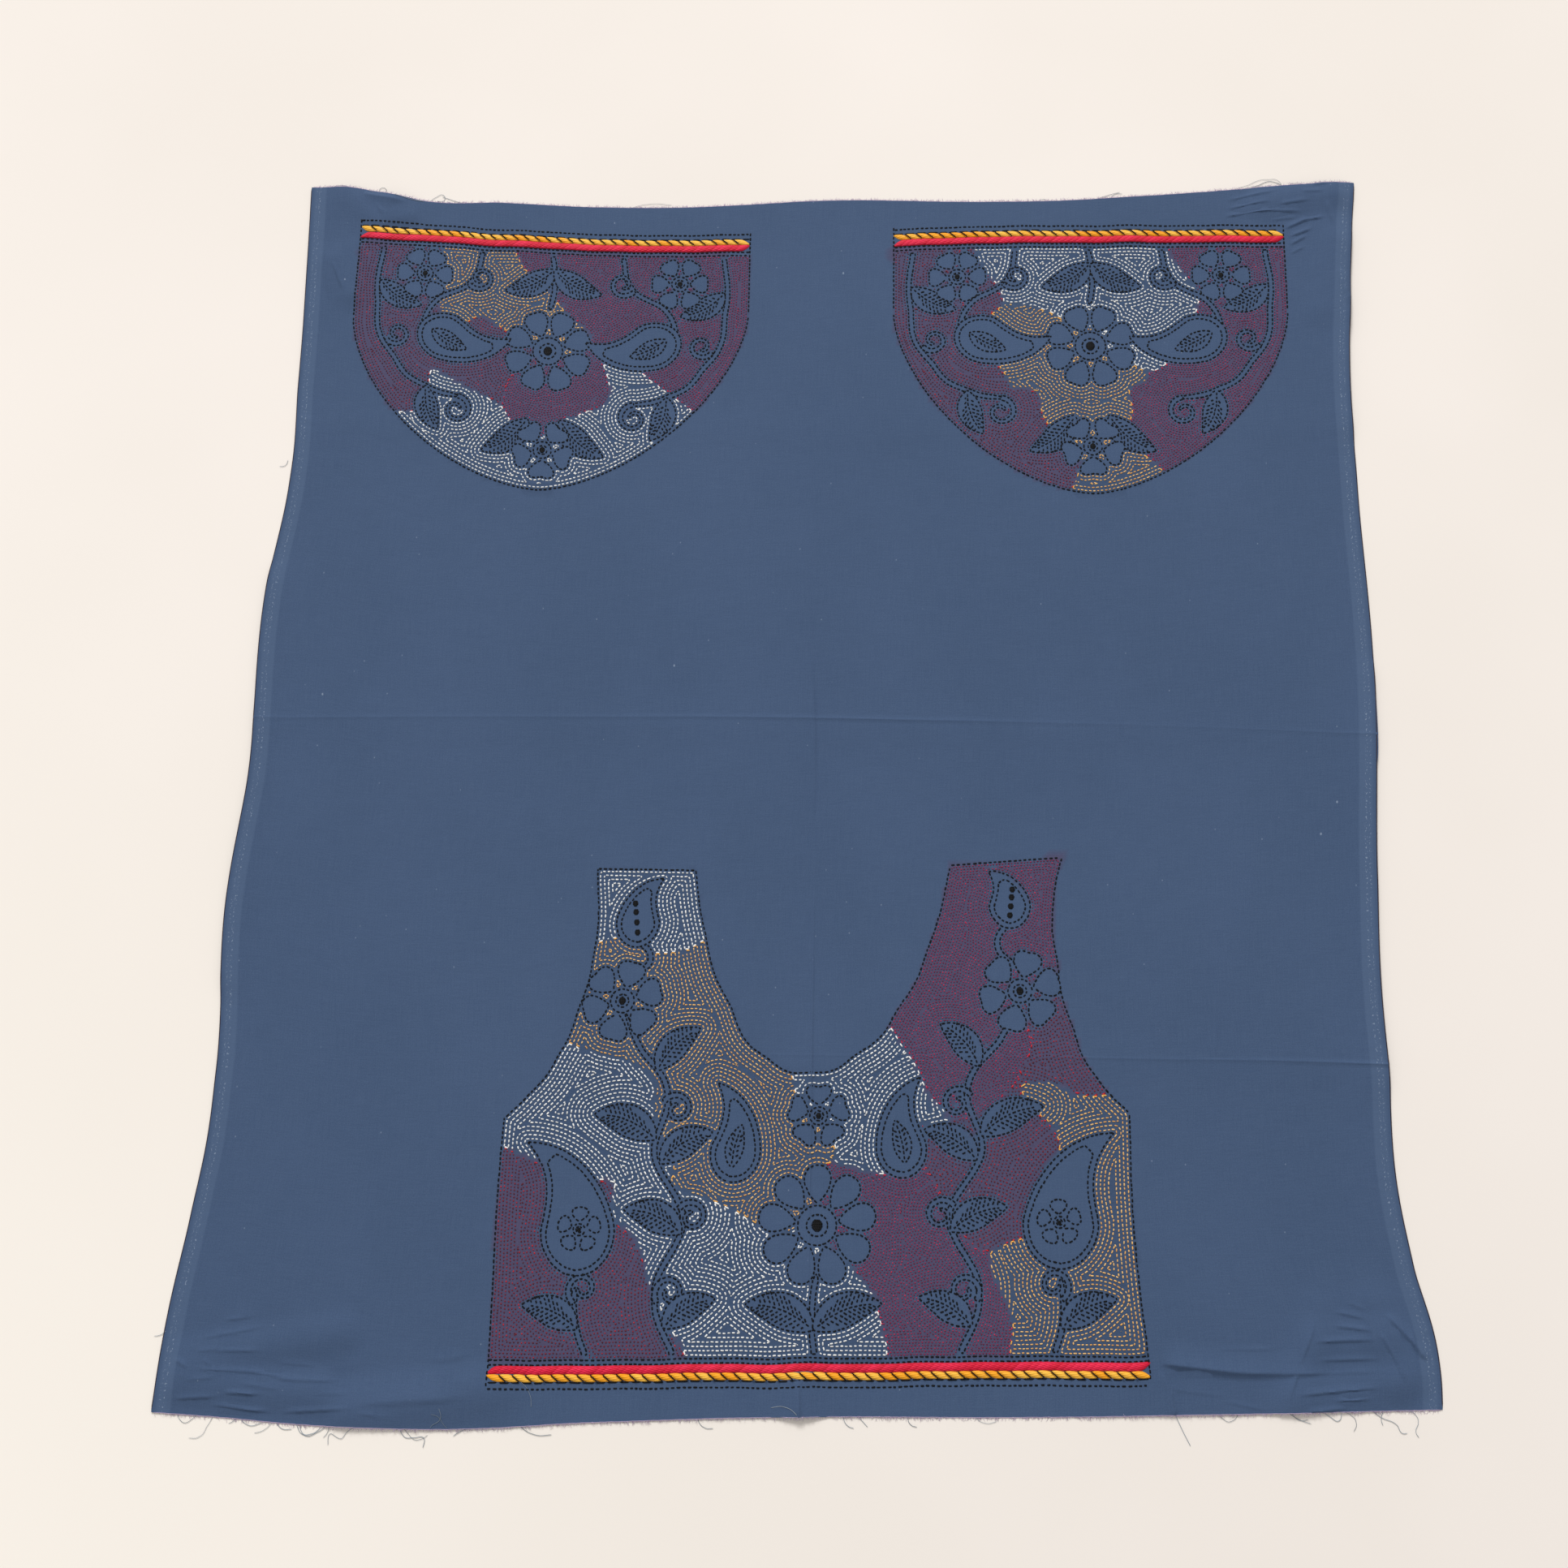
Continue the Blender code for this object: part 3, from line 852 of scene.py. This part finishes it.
def drawFront(d):
    d.stem([(20, 3), (18, 30), (21, 60)])
    d.stem([(-85, 3), (-100, 48), (-80, 100), (-104, 150), (-95, 195), (-118, 230), (-130, 256)])
    d.stem([(128, 3), (142, 48), (120, 100), (145, 150), (134, 195), (160, 233), (172, 258)])
    d.stem([(-150, 3), (-158, 25), (-160, 52)])
    d.stem([(197, 3), (203, 25), (202, 55)])
    d.stem([(-128, 285), (-112, 300), (-121, 312)])
    d.stem([(170, 290), (158, 305), (166, 322)])
    for x, y, angle, flip in (
        (-98, 40, 128, -1), (140, 40, 52, 1), (-84, 108, 60, -1), (124, 108, 120, 1),
        (-98, 188, 62, -1), (137, 190, 118, 1), (-160, 40, 150, -1), (203, 40, 30, 1),
    ):
        d.tendril(x, y, 12, angle, flip)
    for x, y, length, width, angle in (
        (19, 20, 54, 25, 160), (19, 20, 54, 25, 20), (-93, 22, 44, 21, 28), (136, 22, 44, 21, 152),
        (-81, 90, 48, 23, 158), (121, 90, 46, 22, 22), (-99, 142, 46, 22, 30), (141, 142, 46, 22, 150),
        (-103, 160, 52, 24, 158), (144, 160, 52, 24, 24), (-104, 212, 46, 21, 44), (143, 212, 44, 21, 132),
        (-157, 22, 46, 22, 158), (202, 20, 46, 22, 26),
    ):
        d.leaf(x, y, length, width, angle)
    d.flower(21, 95, 43, 9, 10, 0.0, 0.34)
    d.flower(21, 176, 23, 5, 90, 0.12)
    d.flower(-133, 266, 31, 6, 15, 0.06)
    d.flower(175, 269, 31, 6, 15, 0.06)
    d.paisley(-160, 60, 112, 56, 88, 1, "flower")
    d.paisley(203, 62, 112, 56, 92, -1, "flower")
    d.paisley(-48, 128, 78, 38, 72, 1, "leaf")
    d.paisley(90, 130, 78, 38, 108, -1, "leaf")
    d.paisley(-122, 308, 60, 34, 96, -1, "dots")
    d.paisley(167, 318, 50, 32, 84, 1, "dots")


frontPatches = (  # x, y and colour of the middle of each patch of rows
    (-130, 350, "white"), (-140, 270, "gold"), (-60, 230, "gold"), (-170, 190, "white"), (-200, 90, "red"),
    (-140, 20, "red"), (-60, 60, "white"), (-20, 150, "gold"), (20, 40, "white"), (70, 90, "magenta"),
    (60, 190, "white"), (110, 20, "magenta"), (130, 230, "magenta"), (165, 330, "magenta"), (160, 140, "red"),
    (230, 160, "gold"), (210, 30, "gold"), (230, 220, "red"),
)


def drawSleeve(d):
    d.stem([(0, 3), (3, 30), (0, 55)])
    for route in (
        [(62, 3), (72, 34), (100, 52), (112, 78)],
        [(150, 3), (152, 55), (134, 108), (104, 134), (72, 142)],
    ):
        for side in (-1, 1):
            d.stem([(side * x, y) for x, y in route])
    for x, y, radius, angle, flip in ((76, 141, 13, 178, -1), (73, 34, 12, 120, 1), (142, 92, 11, 120, 1)):
        d.tendril(-x, y, radius, 180 - angle, -flip)
        d.tendril(x, y, radius, angle, flip)
    d.leaf(2, 16, 48, 22, 152)
    d.leaf(2, 16, 48, 22, 28)
    for x, y, length, width, a in ((151, 36, 44, 20, 150), (104, 134, 42, 20, 108), (14, 158, 50, 22, 40)):
        d.leaf(-x, y, length, width, 180 - a)
        d.leaf(x, y, length, width, a)
    d.flower(0, 94, 38, 8, 22.5, 0.05, 0.34)
    d.flower(0, 186, 26, 5, 90, 0.12)
    for side in (-1, 1):
        d.flower(side * 112, 27, 24, 6, 0, 0.06)
    for side in (-1, 1):
        d.paisley(side * 112, 74, 84, 44, 90 + side * 58, side, "leaf")


leftPatches = (
    (-140, 40, "red"), (-130, 110, "red"), (-60, 40, "gold"), (-20, 60, "gold"), (20, 20, "magenta"),
    (90, 50, "magenta"), (130, 100, "magenta"), (-80, 170, "white"), (0, 140, "magenta"), (20, 200, "white"),
    (80, 160, "white"), (-45, 100, "red"),
)
rightPatches = (
    (-140, 50, "red"), (-110, 120, "red"), (-30, 30, "white"), (50, 60, "white"), (-50, 90, "gold"),
    (0, 150, "gold"), (-60, 180, "red"), (30, 210, "gold"), (120, 40, "magenta"), (100, 120, "magenta"),
    (60, 180, "magenta"),
)

threads = {  # stitch, gap, pitch of the rows, first row
    "white": (2.6, 0.95, 3.1, 2.3),
    "gold": (2.45, 0.85, 3.0, 2.2),
    "red": (1.75, 0.95, 2.6, 2.1),
    "magenta": (1.75, 0.75, 2.1, 1.9),
}


# the working of one panel: rows of running stitch that follow every shape, in patches of colour
needlework = {
    "grid": 1.0,  # side of the cells in which the rows are found
    "sample": 0.8,  # step of the points along each line
    "outlineStitch": 2.9,
    "hemLines": ((10, 2.9), (6.8, 2.9), (-5.8, 7.8), (-10.3, 2.9)),  # how far from the hem, and stitch
    "bands": {  # how far the middle is from the hem, width, pitch of the loops, their length and lean
        "yellow": (-2.6, 5.5, 9.7, 10.9, -1.25),
        "red": (3.0, 6.2, 5.2, 11.5, 1.2),
    },
    "bandHeight": 2.2,
    "width": {"black": 1.3, "white": 1.2, "gold": 1.05, "red": 1.1, "magenta": 0.95},
    "height": 0.85,
    "ties": (1.05, 1.1, 1.6),  # width, height and lift of the black thread over the yellow loops
    "endGap": 1.5,  # from the ends of the hem to those of the bands
}


def nearestPatch(gx, gy, seeds):
    # the patches meet along wobbling lines
    wobble = 7 * np.sin(gx / 13 + 1.3 * np.sin(gy / 17)) + 6 * np.sin(gy / 11 + gx / 29)
    return np.argmin([np.hypot(gx + wobble - x, gy - wobble * 0.7 - y) for x, y in seeds], axis=0)


def distanceTo(samples, gx, gy):
    tree = kdtree.KDTree(len(samples))
    for k, (x, y) in enumerate(samples.tolist()):
        tree.insert((x, y, 0.0), k)
    tree.balance()
    return np.array([tree.find((x, y, 0.0))[2] for x, y in zip(gx.tolist(), gy.tolist())])


def satinDot(middle, radius):
    # a small round of stitches side by side
    rows = np.arange(-radius + 0.4, radius, 0.85)
    chords = []
    for row in rows:
        half = math.sqrt(max(radius * radius - row * row, 0.3)) + 0.3
        lean = rng.uniform(-0.2, 0.2)
        chords.append((middle[0] - half, middle[1] + row - lean, middle[0] + half, middle[1] + row + lean))
    return np.array(chords)


def workPanel(outline, place, draw, patches, hem, sign):
    step = needlework["grid"]
    drawing = Drawing(place)
    draw(drawing)
    border = np.concatenate(outline)
    low, high = border.min(axis=0) - 3, border.max(axis=0) + 3
    gx, gy = np.meshgrid(np.arange(low[0], high[0], step), np.arange(low[1], high[1], step))
    inside = insidePolygon(border, gx, gy)
    inner = (gy - hem(gx)) * sign > needlework["hemLines"][0][0]
    order = np.zeros(gx.shape, int)
    for k, shape in enumerate(drawing.shapes):
        order[insidePolygon(shape, gx, gy)] = k + 1
    free = inside & inner & (order == 0)
    hemX = np.arange(low[0], high[0], needlework["sample"])

    def hemLine(offset):
        xs = hemX[(hemX > border[:, 0].min()) & (hemX < border[:, 0].max())]
        wander = 0.45 * np.sin(xs / 19 + 2 * np.sin(xs / 47)) + 0.2 * np.sin(xs / 7)
        return np.stack([xs, hem(xs) + offset * sign + wander], 1)

    edges = [closed(shape) for shape in drawing.shapes] + outline + [hemLine(needlework["hemLines"][0][0])]
    samples = np.concatenate([resample(line, needlework["sample"]) for line in edges])
    field = np.full(gx.shape, np.nan)
    field[free] = distanceTo(samples, gx[free], gy[free])
    seeds = place(np.array([patch[:2] for patch in patches], float))
    colours = np.array([patch[2] for patch in patches])[nearestPatch(gx, gy, seeds)]

    stitches = {name: [] for name in ("black", "white", "gold", "red", "magenta")}
    turns = {name: [] for name in threads}
    for name, (stitch, gap, pitch, first) in threads.items():
        patch = np.where(colours == name, field, np.nan)
        before = np.zeros((0, 2))
        for k, level in enumerate(np.arange(first, 40, pitch)):
            lines = isolines(patch, level, low[0], low[1], step)
            for line in lines:
                stitches[name].append(dashes(line, stitch, gap, rng))
            tips = [line[i] for line in lines for i in (0, -1) if np.hypot(*(line[0] - line[-1])) > 2 * step]
            if k % 2 and len(before):
                for tip in tips:
                    away = np.hypot(*(before - tip).T)
                    if away.min() < 1.7 * pitch:
                        turns[name].append(np.concatenate([before[away.argmin()], tip]))
            before = np.array(tips).reshape(-1, 2)

    def shown(rows, layer):
        places = (rows[:, :2] + rows[:, 2:]) / 2
        i = np.clip(np.round((places[:, 1] - low[1]) / step).astype(int), 0, order.shape[0] - 1)
        j = np.clip(np.round((places[:, 0] - low[0]) / step).astype(int), 0, order.shape[1] - 1)
        return rows[(order[i, j] <= layer) & inside[i, j]]

    for line, layer in drawing.lines:
        stitches["black"].append(shown(dashes(line, 2.8, 1.0, rng), layer))
    rims = [(side, needlework["outlineStitch"]) for side in outline]
    rims += [(hemLine(offset), stitch) for offset, stitch in needlework["hemLines"]]
    for line, stitch in rims:
        stitches["black"].append(dashes(line, stitch, 1.1, rng))
    for middle, radius, layer in drawing.dots:
        stitches["black"].append(shown(satinDot(middle, radius), layer))
    tones = {}
    for name, rows in stitches.items():
        count = sum(len(part) for part in rows)
        ends = np.array(turns.get(name, [])).reshape(-1, 4)
        stitches[name] = np.concatenate(rows + [ends]) if count else ends
        tones[name] = [0.94 * rng.random() for _ in range(count)] + [1.0] * len(ends)
    return stitches, tones, hemLine


def workHemBand(panel, hemLine):
    # two rows of plump looped stitches, and the black thread between their loops
    pieces, endGap = [], needlework["endGap"]
    for colour, (offset, width, pitch, reach, lean) in needlework["bands"].items():
        line = hemLine(offset)
        length = arcLength(line)[-1]
        count = int(round((length - reach) / pitch)) + 1
        last = length - reach - endGap
        at = np.linspace(endGap, last, count) + np.array([rng.uniform(-0.3, 0.3) for _ in range(count)])
        at = np.clip(at, endGap, last)
        starts, ends = placesAlong(line, at), placesAlong(line, at + reach)
        tones = [rng.random() for _ in range(count)]
        look = (tones, ropes[colour], "loop", 0.2, lean)
        name, height = f"{panel}_{colour}_loops", needlework["bandHeight"]
        pieces.append(layStitches(name, starts, ends, width, height, *look))
        if colour == "yellow":
            middles = placesAlong(line, at[1:] + (reach - pitch) / 2)
            ties = np.concatenate([middles + [-3.1, 2.6], middles + [3.1, -2.6]], 1)
    return pieces, ties


def placeFront(points):
    return np.stack([points[:, 0], frontHem(points[:, 0]) + 10 + points[:, 1]], 1)


def sleevePlace(middle):
    def place(points):
        x = points[:, 0] + middle
        return np.stack([x, sleeveHem(x) - 10 - points[:, 1]], 1)

    return place


panels = {
    "front": (frontOutline(), placeFront, drawFront, frontPatches, frontHem, 1),
    "left_sleeve": (sleeveOutline(-221, 344, 228), sleevePlace(-221), drawSleeve, leftPatches, sleeveHem, -1),
    "right_sleeve": (sleeveOutline(242, 333, 224), sleevePlace(242), drawSleeve, rightPatches, sleeveHem, -1),
}

makeCamera()
print("camera made")


def clothShares(axis):
    # where the rows of points lie, with close ones beside the pressed folds that cross them
    span = cloth["loomWidth"] if axis else cloth["cutLength"]
    shares = np.linspace(0, 1, round(span / cloth["cell"]) + 1)
    for way, middle, *_ in cloth["pressedFolds"]:
        if way == axis:
            shares = shares[np.abs(shares - middle) * span > cloth["foldClear"]]
            shares = np.sort(np.concatenate([shares, middle + np.array(cloth["foldRows"]) / span]))
    return shares


def workedAt(x, y):
    # 1 where the cloth is worked between the drawn shapes, which its finish puckers and, outside red and
    # magenta, darkens with painted shade, and 1 where that is in red or magenta thread
    worked, flush = np.zeros(len(x)), np.zeros(len(x))
    for outline, place, draw, patches, hem, sign in panels.values():
        inside = insidePolygon(np.concatenate(outline), x, y)
        inside &= (y - hem(x)) * sign > needlework["hemLines"][0][0] - 1
        seeds = place(np.array([patch[:2] for patch in patches], float))
        warm = np.array([patch[2] in ("red", "magenta") for patch in patches])[nearestPatch(x, y, seeds)]
        drawing = Drawing(place)
        draw(drawing)
        for shape in drawing.shapes:
            for dx, dy in ((0, 0), (2, 0), (-2, 0), (0, 2), (0, -2)):
                inside &= ~insidePolygon(shape + [dx, dy], x, y)
        worked[inside] = 1
        flush[inside & warm] = 1
    return worked, flush


def makeCloth():
    columns, rows = clothShares(1), clothShares(0)
    u, v = np.meshgrid(columns, rows)
    x, y = clothPoint(u, v)
    for (axis, middle, *_), (_, line, _) in zip(cloth["pressedFolds"], foldLines):
        # one row of points follows each pressed fold
        if axis:
            k = np.abs(columns - middle).argmin()
            off = x[:, k : k + 1]
            x = x + (line(y[:, k : k + 1]) - off) * (1 - ease(np.abs(x - off), *cloth["foldPull"]))
        else:
            k = np.abs(rows - middle).argmin()
            y = y + (line(x[k]) - y[k]) * (1 - ease(np.abs(y - y[k]), *cloth["foldPull"]))
    places = np.stack([x.ravel(), y.ravel(), x.ravel() * 0], 1)
    bm = bmesh.new()
    bmesh.ops.create_grid(bm, x_segments=len(columns) - 1, y_segments=len(rows) - 1, size=1.0)
    for vert, place in zip(list(bm.verts), places):
        vert.co = place
    raised = bmesh.ops.extrude_face_region(bm, geom=bm.faces[:], use_keep_orig=True)
    upper = [item for item in raised["geom"] if isinstance(item, bmesh.types.BMVert)]
    bmesh.ops.translate(bm, verts=upper, vec=(0, 0, 1))
    for level in (1, 2, 3):
        boxes = [box for box in cloth["finer"] if box[4] >= level]
        edges = set()
        bm.edges.index_update()
        for face in bm.faces:
            a, b, up = face.calc_center_median()
            if up > 0.9 and any(x0 < a < x1 and y0 < b < y1 for x0, y0, x1, y1, _ in boxes):
                edges.update(face.edges)
        edges = sorted(edges, key=lambda edge: edge.index)
        bmesh.ops.subdivide_edges(bm, edges=edges, cuts=1, use_grid_fill=True)
    bmesh.ops.recalc_face_normals(bm, faces=bm.faces[:])
    mesh = bpy.data.meshes.new("blouse_cloth")
    bm.to_mesh(mesh)
    bm.free()

    count = len(mesh.vertices)
    places = np.zeros(count * 3)
    mesh.vertices.foreach_get("co", places)
    x, y, upper = places.reshape(-1, 3).T
    z = heightAt(x, y) + cloth["thickness"] * (upper > 0.5)
    mesh.vertices.foreach_set("co", ((np.stack([x, y, z], 1) - centre) * mm).ravel())
    across = (x - leftEdge(y)) / (rightEdge(y) - leftEdge(y)) * cloth["loomWidth"] * mm
    along = (y - nearEdge(x)) / (farEdge(x) - nearEdge(x)) * cloth["cutLength"] * mm
    corners = np.zeros(len(mesh.loops), int)
    mesh.loops.foreach_get("vertex_index", corners)
    mesh.uv_layers.new(name="weave").data.foreach_set("uv", np.stack([across, along], 1)[corners].ravel())
    for name, values in zip(("worked", "flush"), workedAt(x, y)):
        mesh.attributes.new(name, "FLOAT", "POINT").data.foreach_set("value", values.astype(np.float32))
    mesh.update()
    sheet = link("blouse_cloth", mesh, clothFinish())
    mesh.set_sharp_from_angle(angle=math.radians(60))
    return sheet


sheet = makeCloth()
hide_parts("cloth")
print("cloth made")

onCloth = []
for panel, (outline, place, draw, patches, hem, sign) in panels.items():
    stitches, tones, hemLine = workPanel(outline, place, draw, patches, hem, sign)
    bands, ties = workHemBand(panel, hemLine)
    onCloth += bands
    for colour, rows in stitches.items():
        if len(rows) == 0:
            continue
        count = len(rows)
        width = needlework["width"][colour] * np.array([rng.uniform(0.88, 1.12) for _ in range(count)])
        grain = "fine" if colour in ("red", "magenta") else "full"
        name, height = f"{panel}_{colour}_stitches", needlework["height"]
        look = (tones[colour], finishes[colour], grain)
        onCloth.append(layStitches(name, rows[:, :2], rows[:, 2:], width, height, *look))
    name, (width, height, lift) = f"{panel}_band_ties", needlework["ties"]
    look = ([rng.random() for _ in range(len(ties))], finishes["black"], "full", lift)
    onCloth.append(layStitches(name, ties[:, :2], ties[:, 2:], width, height, *look))
    print(panel, "worked with", sum(len(rows) for rows in stitches.values()), "stitches")


# threads along the edges and loose on the cloth
edging = {
    "selvedgeRadius": 0.5,
    "fuzzPerEnd": 2500,
    "fuzzLength": (0.7, 3.8),
    "fuzzRadius": 0.12,
    "endYarnRadius": 0.3,
    "strayRadius": 0.19,
    "strays": (  # each thread's points, in the plane of the cloth; the first is drawn to the edge
        ((-453, -512), (-451, -516), (-441, -515), (-438, -512)),
        ((-426, -509), (-430, -517), (-435, -525), (-443, -527)),
        ((-409, -512), (-411, -515), (-414, -517)), ((-405, -514), (-400, -518), (-389, -517)),
        ((-381, -517), (-386, -522), (-394, -525)), ((-378, -518), (-375, -521), (-366, -522)),
        ((-360, -519), (-359, -523), (-351, -525), (-345, -521)),
        ((-363, -519), (-357, -526), (-347, -524), (-341, -520)),
        ((-310, -519), (-325, -523), (-328, -527), (-337, -524), (-338, -532)),
        ((-338, -519), (-340, -525), (-342, -527)),
        ((-285, -519), (-283, -523), (-274, -525), (-267, -525), (-267, -532)),
        ((-282, -519), (-279, -522), (-269, -526), (-264, -523)),
        ((-263, -515), (-261, -513), (-255, -509), (-256, -502)),
        ((-249, -518), (-253, -514), (-256, -510), (-262, -508)),
        ((-231, -515), (-240, -518), (-245, -522)), ((-196, -512), (-186, -518), (-172, -519)),
        ((-65, -506), (-60, -512), (-53, -513)), ((42, -503), (45, -509), (50, -511)),
        ((53, -503), (58, -508), (60, -510)), ((89, -502), (91, -507), (96, -509)),
        ((138, -500), (145, -504), (154, -503)), ((283, -496), (287, -505), (293, -517)),
        ((314, -495), (317, -498), (324, -499), (328, -495)), ((364, -497), (369, -499), (380, -502)),
        ((366, -497), (373, -501), (378, -499)), ((389, -493), (394, -496), (400, -498), (402, -493)),
        ((402, -494), (409, -496), (412, -500), (410, -506)),
        ((424, -495), (431, -499), (441, -503), (445, -508), (448, -507)),
        ((445, -492), (455, -495), (456, -500), (454, -505), (456, -509)),
        ((432, -492), (430, -497), (431, -501)), ((-402, 516), (-394, 515), (-384, 511)),
        ((-380, 511), (-379, 516), (-374, 515), (-375, 510)),
        ((-367, 509), (-360, 507), (-349, 504), (-339, 503)),
        ((-334, 502), (-328, 507), (-323, 509), (-321, 504), (-328, 503)),
        ((-305, 500), (-313, 503), (-323, 507)), ((-424, 519), (-415, 521), (-405, 518)),
        ((-156, 498), (-140, 501), (-119, 499)), ((201, 502), (204, 503), (208, 501)),
        ((251, 502), (261, 505), (271, 507)), ((263, 502), (266, 505), (273, 505)),
        ((367, 503), (380, 508), (399, 514), (407, 513), (410, 509)),
        ((373, 504), (388, 508), (404, 512), (411, 508)), ((413, 509), (419, 512), (427, 512)),
        ((434, 510), (443, 513), (452, 512)), ((-439, 256), (-441, 251), (-446, 250)),
        ((-468, -454), (-472, -457), (-477, -458)), ((10, -498), (0, -493), (-11, -495)),
        ((-188, -502), (-190, -492), (-198, -483)),
    ),
}


def insideCloth(x, y):
    return (x > leftEdge(y)) & (x < rightEdge(y)) & (y > nearEdge(x)) & (y < farEdge(x))


def selvedgeThreads():
    v = np.linspace(0.001, 0.999, 300)
    routes = []
    for u in (0.0, 1.0):
        x, y = clothPoint(v * 0 + u, v)
        z = topAt(x, y) - 0.5 * cloth["thickness"]
        routes.append(np.stack([x, y, z], 1))
    finish = plainThread("selvedgeThread", linear(58, 22, 38), linear(26, 22, 34))
    return layThreads("selvedge_threads", routes, edging["selvedgeRadius"], finish, 5)


def frayedEnds():
    routes, radii = [], []
    for v in (0.0, 1.0):
        outwards = 1 if v else -1
        for _ in range(edging["fuzzPerEnd"]):
            x, y = [float(value) for value in clothPoint(rng.uniform(0.002, 0.998), v)]
            z = float(topAt(x, y)) - rng.uniform(0.1, 0.45)
            shortest, longest = edging["fuzzLength"]
            length = shortest + (longest - shortest) * rng.random() ** 1.9
            angle = rng.gauss(0, 0.75)
            bend = angle + rng.gauss(0, 0.7)
            half = length / 2
            a = (x - 0.4 * math.sin(angle), y - 0.4 * outwards * math.cos(angle), z)
            lift = rng.uniform(-0.1, 0.3)
            b = (x + half * math.sin(angle), y + half * outwards * math.cos(angle), z + lift)
            end = max(b[2] - 0.2, 0.15)
            c = (b[0] + half * math.sin(bend), b[1] + half * outwards * math.cos(bend), end)
            routes.append((a, b, c))
            radii.append(edging["fuzzRadius"])
        u = np.linspace(0.001, 0.999, 400)
        x, y = clothPoint(u, u * 0 + v)
        wave = np.array([rng.uniform(-0.12, 0.12) for _ in u])
        routes.append(np.stack([x, y + wave, topAt(x, y) - 0.15], 1))
        radii.append(edging["endYarnRadius"])
    finish = plainThread("frayedCotton", linear(140, 108, 150), linear(206, 190, 216))
    return layThreads("frayed_ends", routes, radii, finish, 3)


def strayThreads():
    routes = []
    for points in edging["strays"]:
        points = np.array(points, float)
        x, y = points[0]
        rim = nearEdge(x) if y < 0 else farEdge(x)
        if abs(y) > 490 and abs(rim - y) < 9:
            points[:, 1] += (rim - y) * np.linspace(1, 0.5, len(points))
        line = curveThrough(points, 0.9)
        on = insideCloth(line[:, 0], line[:, 1])
        rise = np.where(on, topAt(line[:, 0], line[:, 1]) + 0.25, 0.3)
        rise = np.convolve(np.pad(rise, 2, mode="edge"), np.ones(5) / 5, mode="valid")
        routes.append(np.column_stack([line, rise + 0.1]))
    radii = [edging["strayRadius"] * rng.uniform(0.65, 1.15) for _ in routes]
    finish = plainThread("strayCotton", linear(96, 112, 126), linear(152, 163, 173))
    return layThreads("stray_threads", routes, radii, finish, 4)


onCloth += [selvedgeThreads(), frayedEnds(), strayThreads()]
print("edges made")


# floor and light
studio = {
    "floorSize": 6.0,
    "world": (linear(255, 254, 252), 0.55),  # colour and strength
    "window": ((-2.4, 12.6, 9.75), 4.8, 2025.0),  # place, size, power
}


def makeFloor():
    bm = bmesh.new()
    bmesh.ops.create_grid(bm, x_segments=8, y_segments=8, size=studio["floorSize"] / 2)
    bmesh.ops.translate(bm, verts=bm.verts[:], vec=(0, 0, -0.1 * mm))
    mesh = bpy.data.meshes.new("floor")
    bm.to_mesh(mesh)
    bm.free()
    mesh.materials.append(floorFinish())
    floor = bpy.data.objects.new("floor", mesh)
    bpy.context.collection.objects.link(floor)


def makeLight():
    world = bpy.data.worlds.new("studio")
    bpy.context.scene.world = world
    world.use_nodes = True
    background = world.node_tree.nodes["Background"]
    background.inputs["Color"].default_value, background.inputs["Strength"].default_value = studio["world"]
    data = bpy.data.lights.new("window", "AREA")
    place, data.size, data.energy = studio["window"]
    lamp = bpy.data.objects.new("window", data)
    lamp.location = place
    lamp.rotation_euler = (-lamp.location).to_track_quat("-Z", "Y").to_euler()
    bpy.context.collection.objects.link(lamp)


makeFloor()
makeLight()
print("floor and light made")
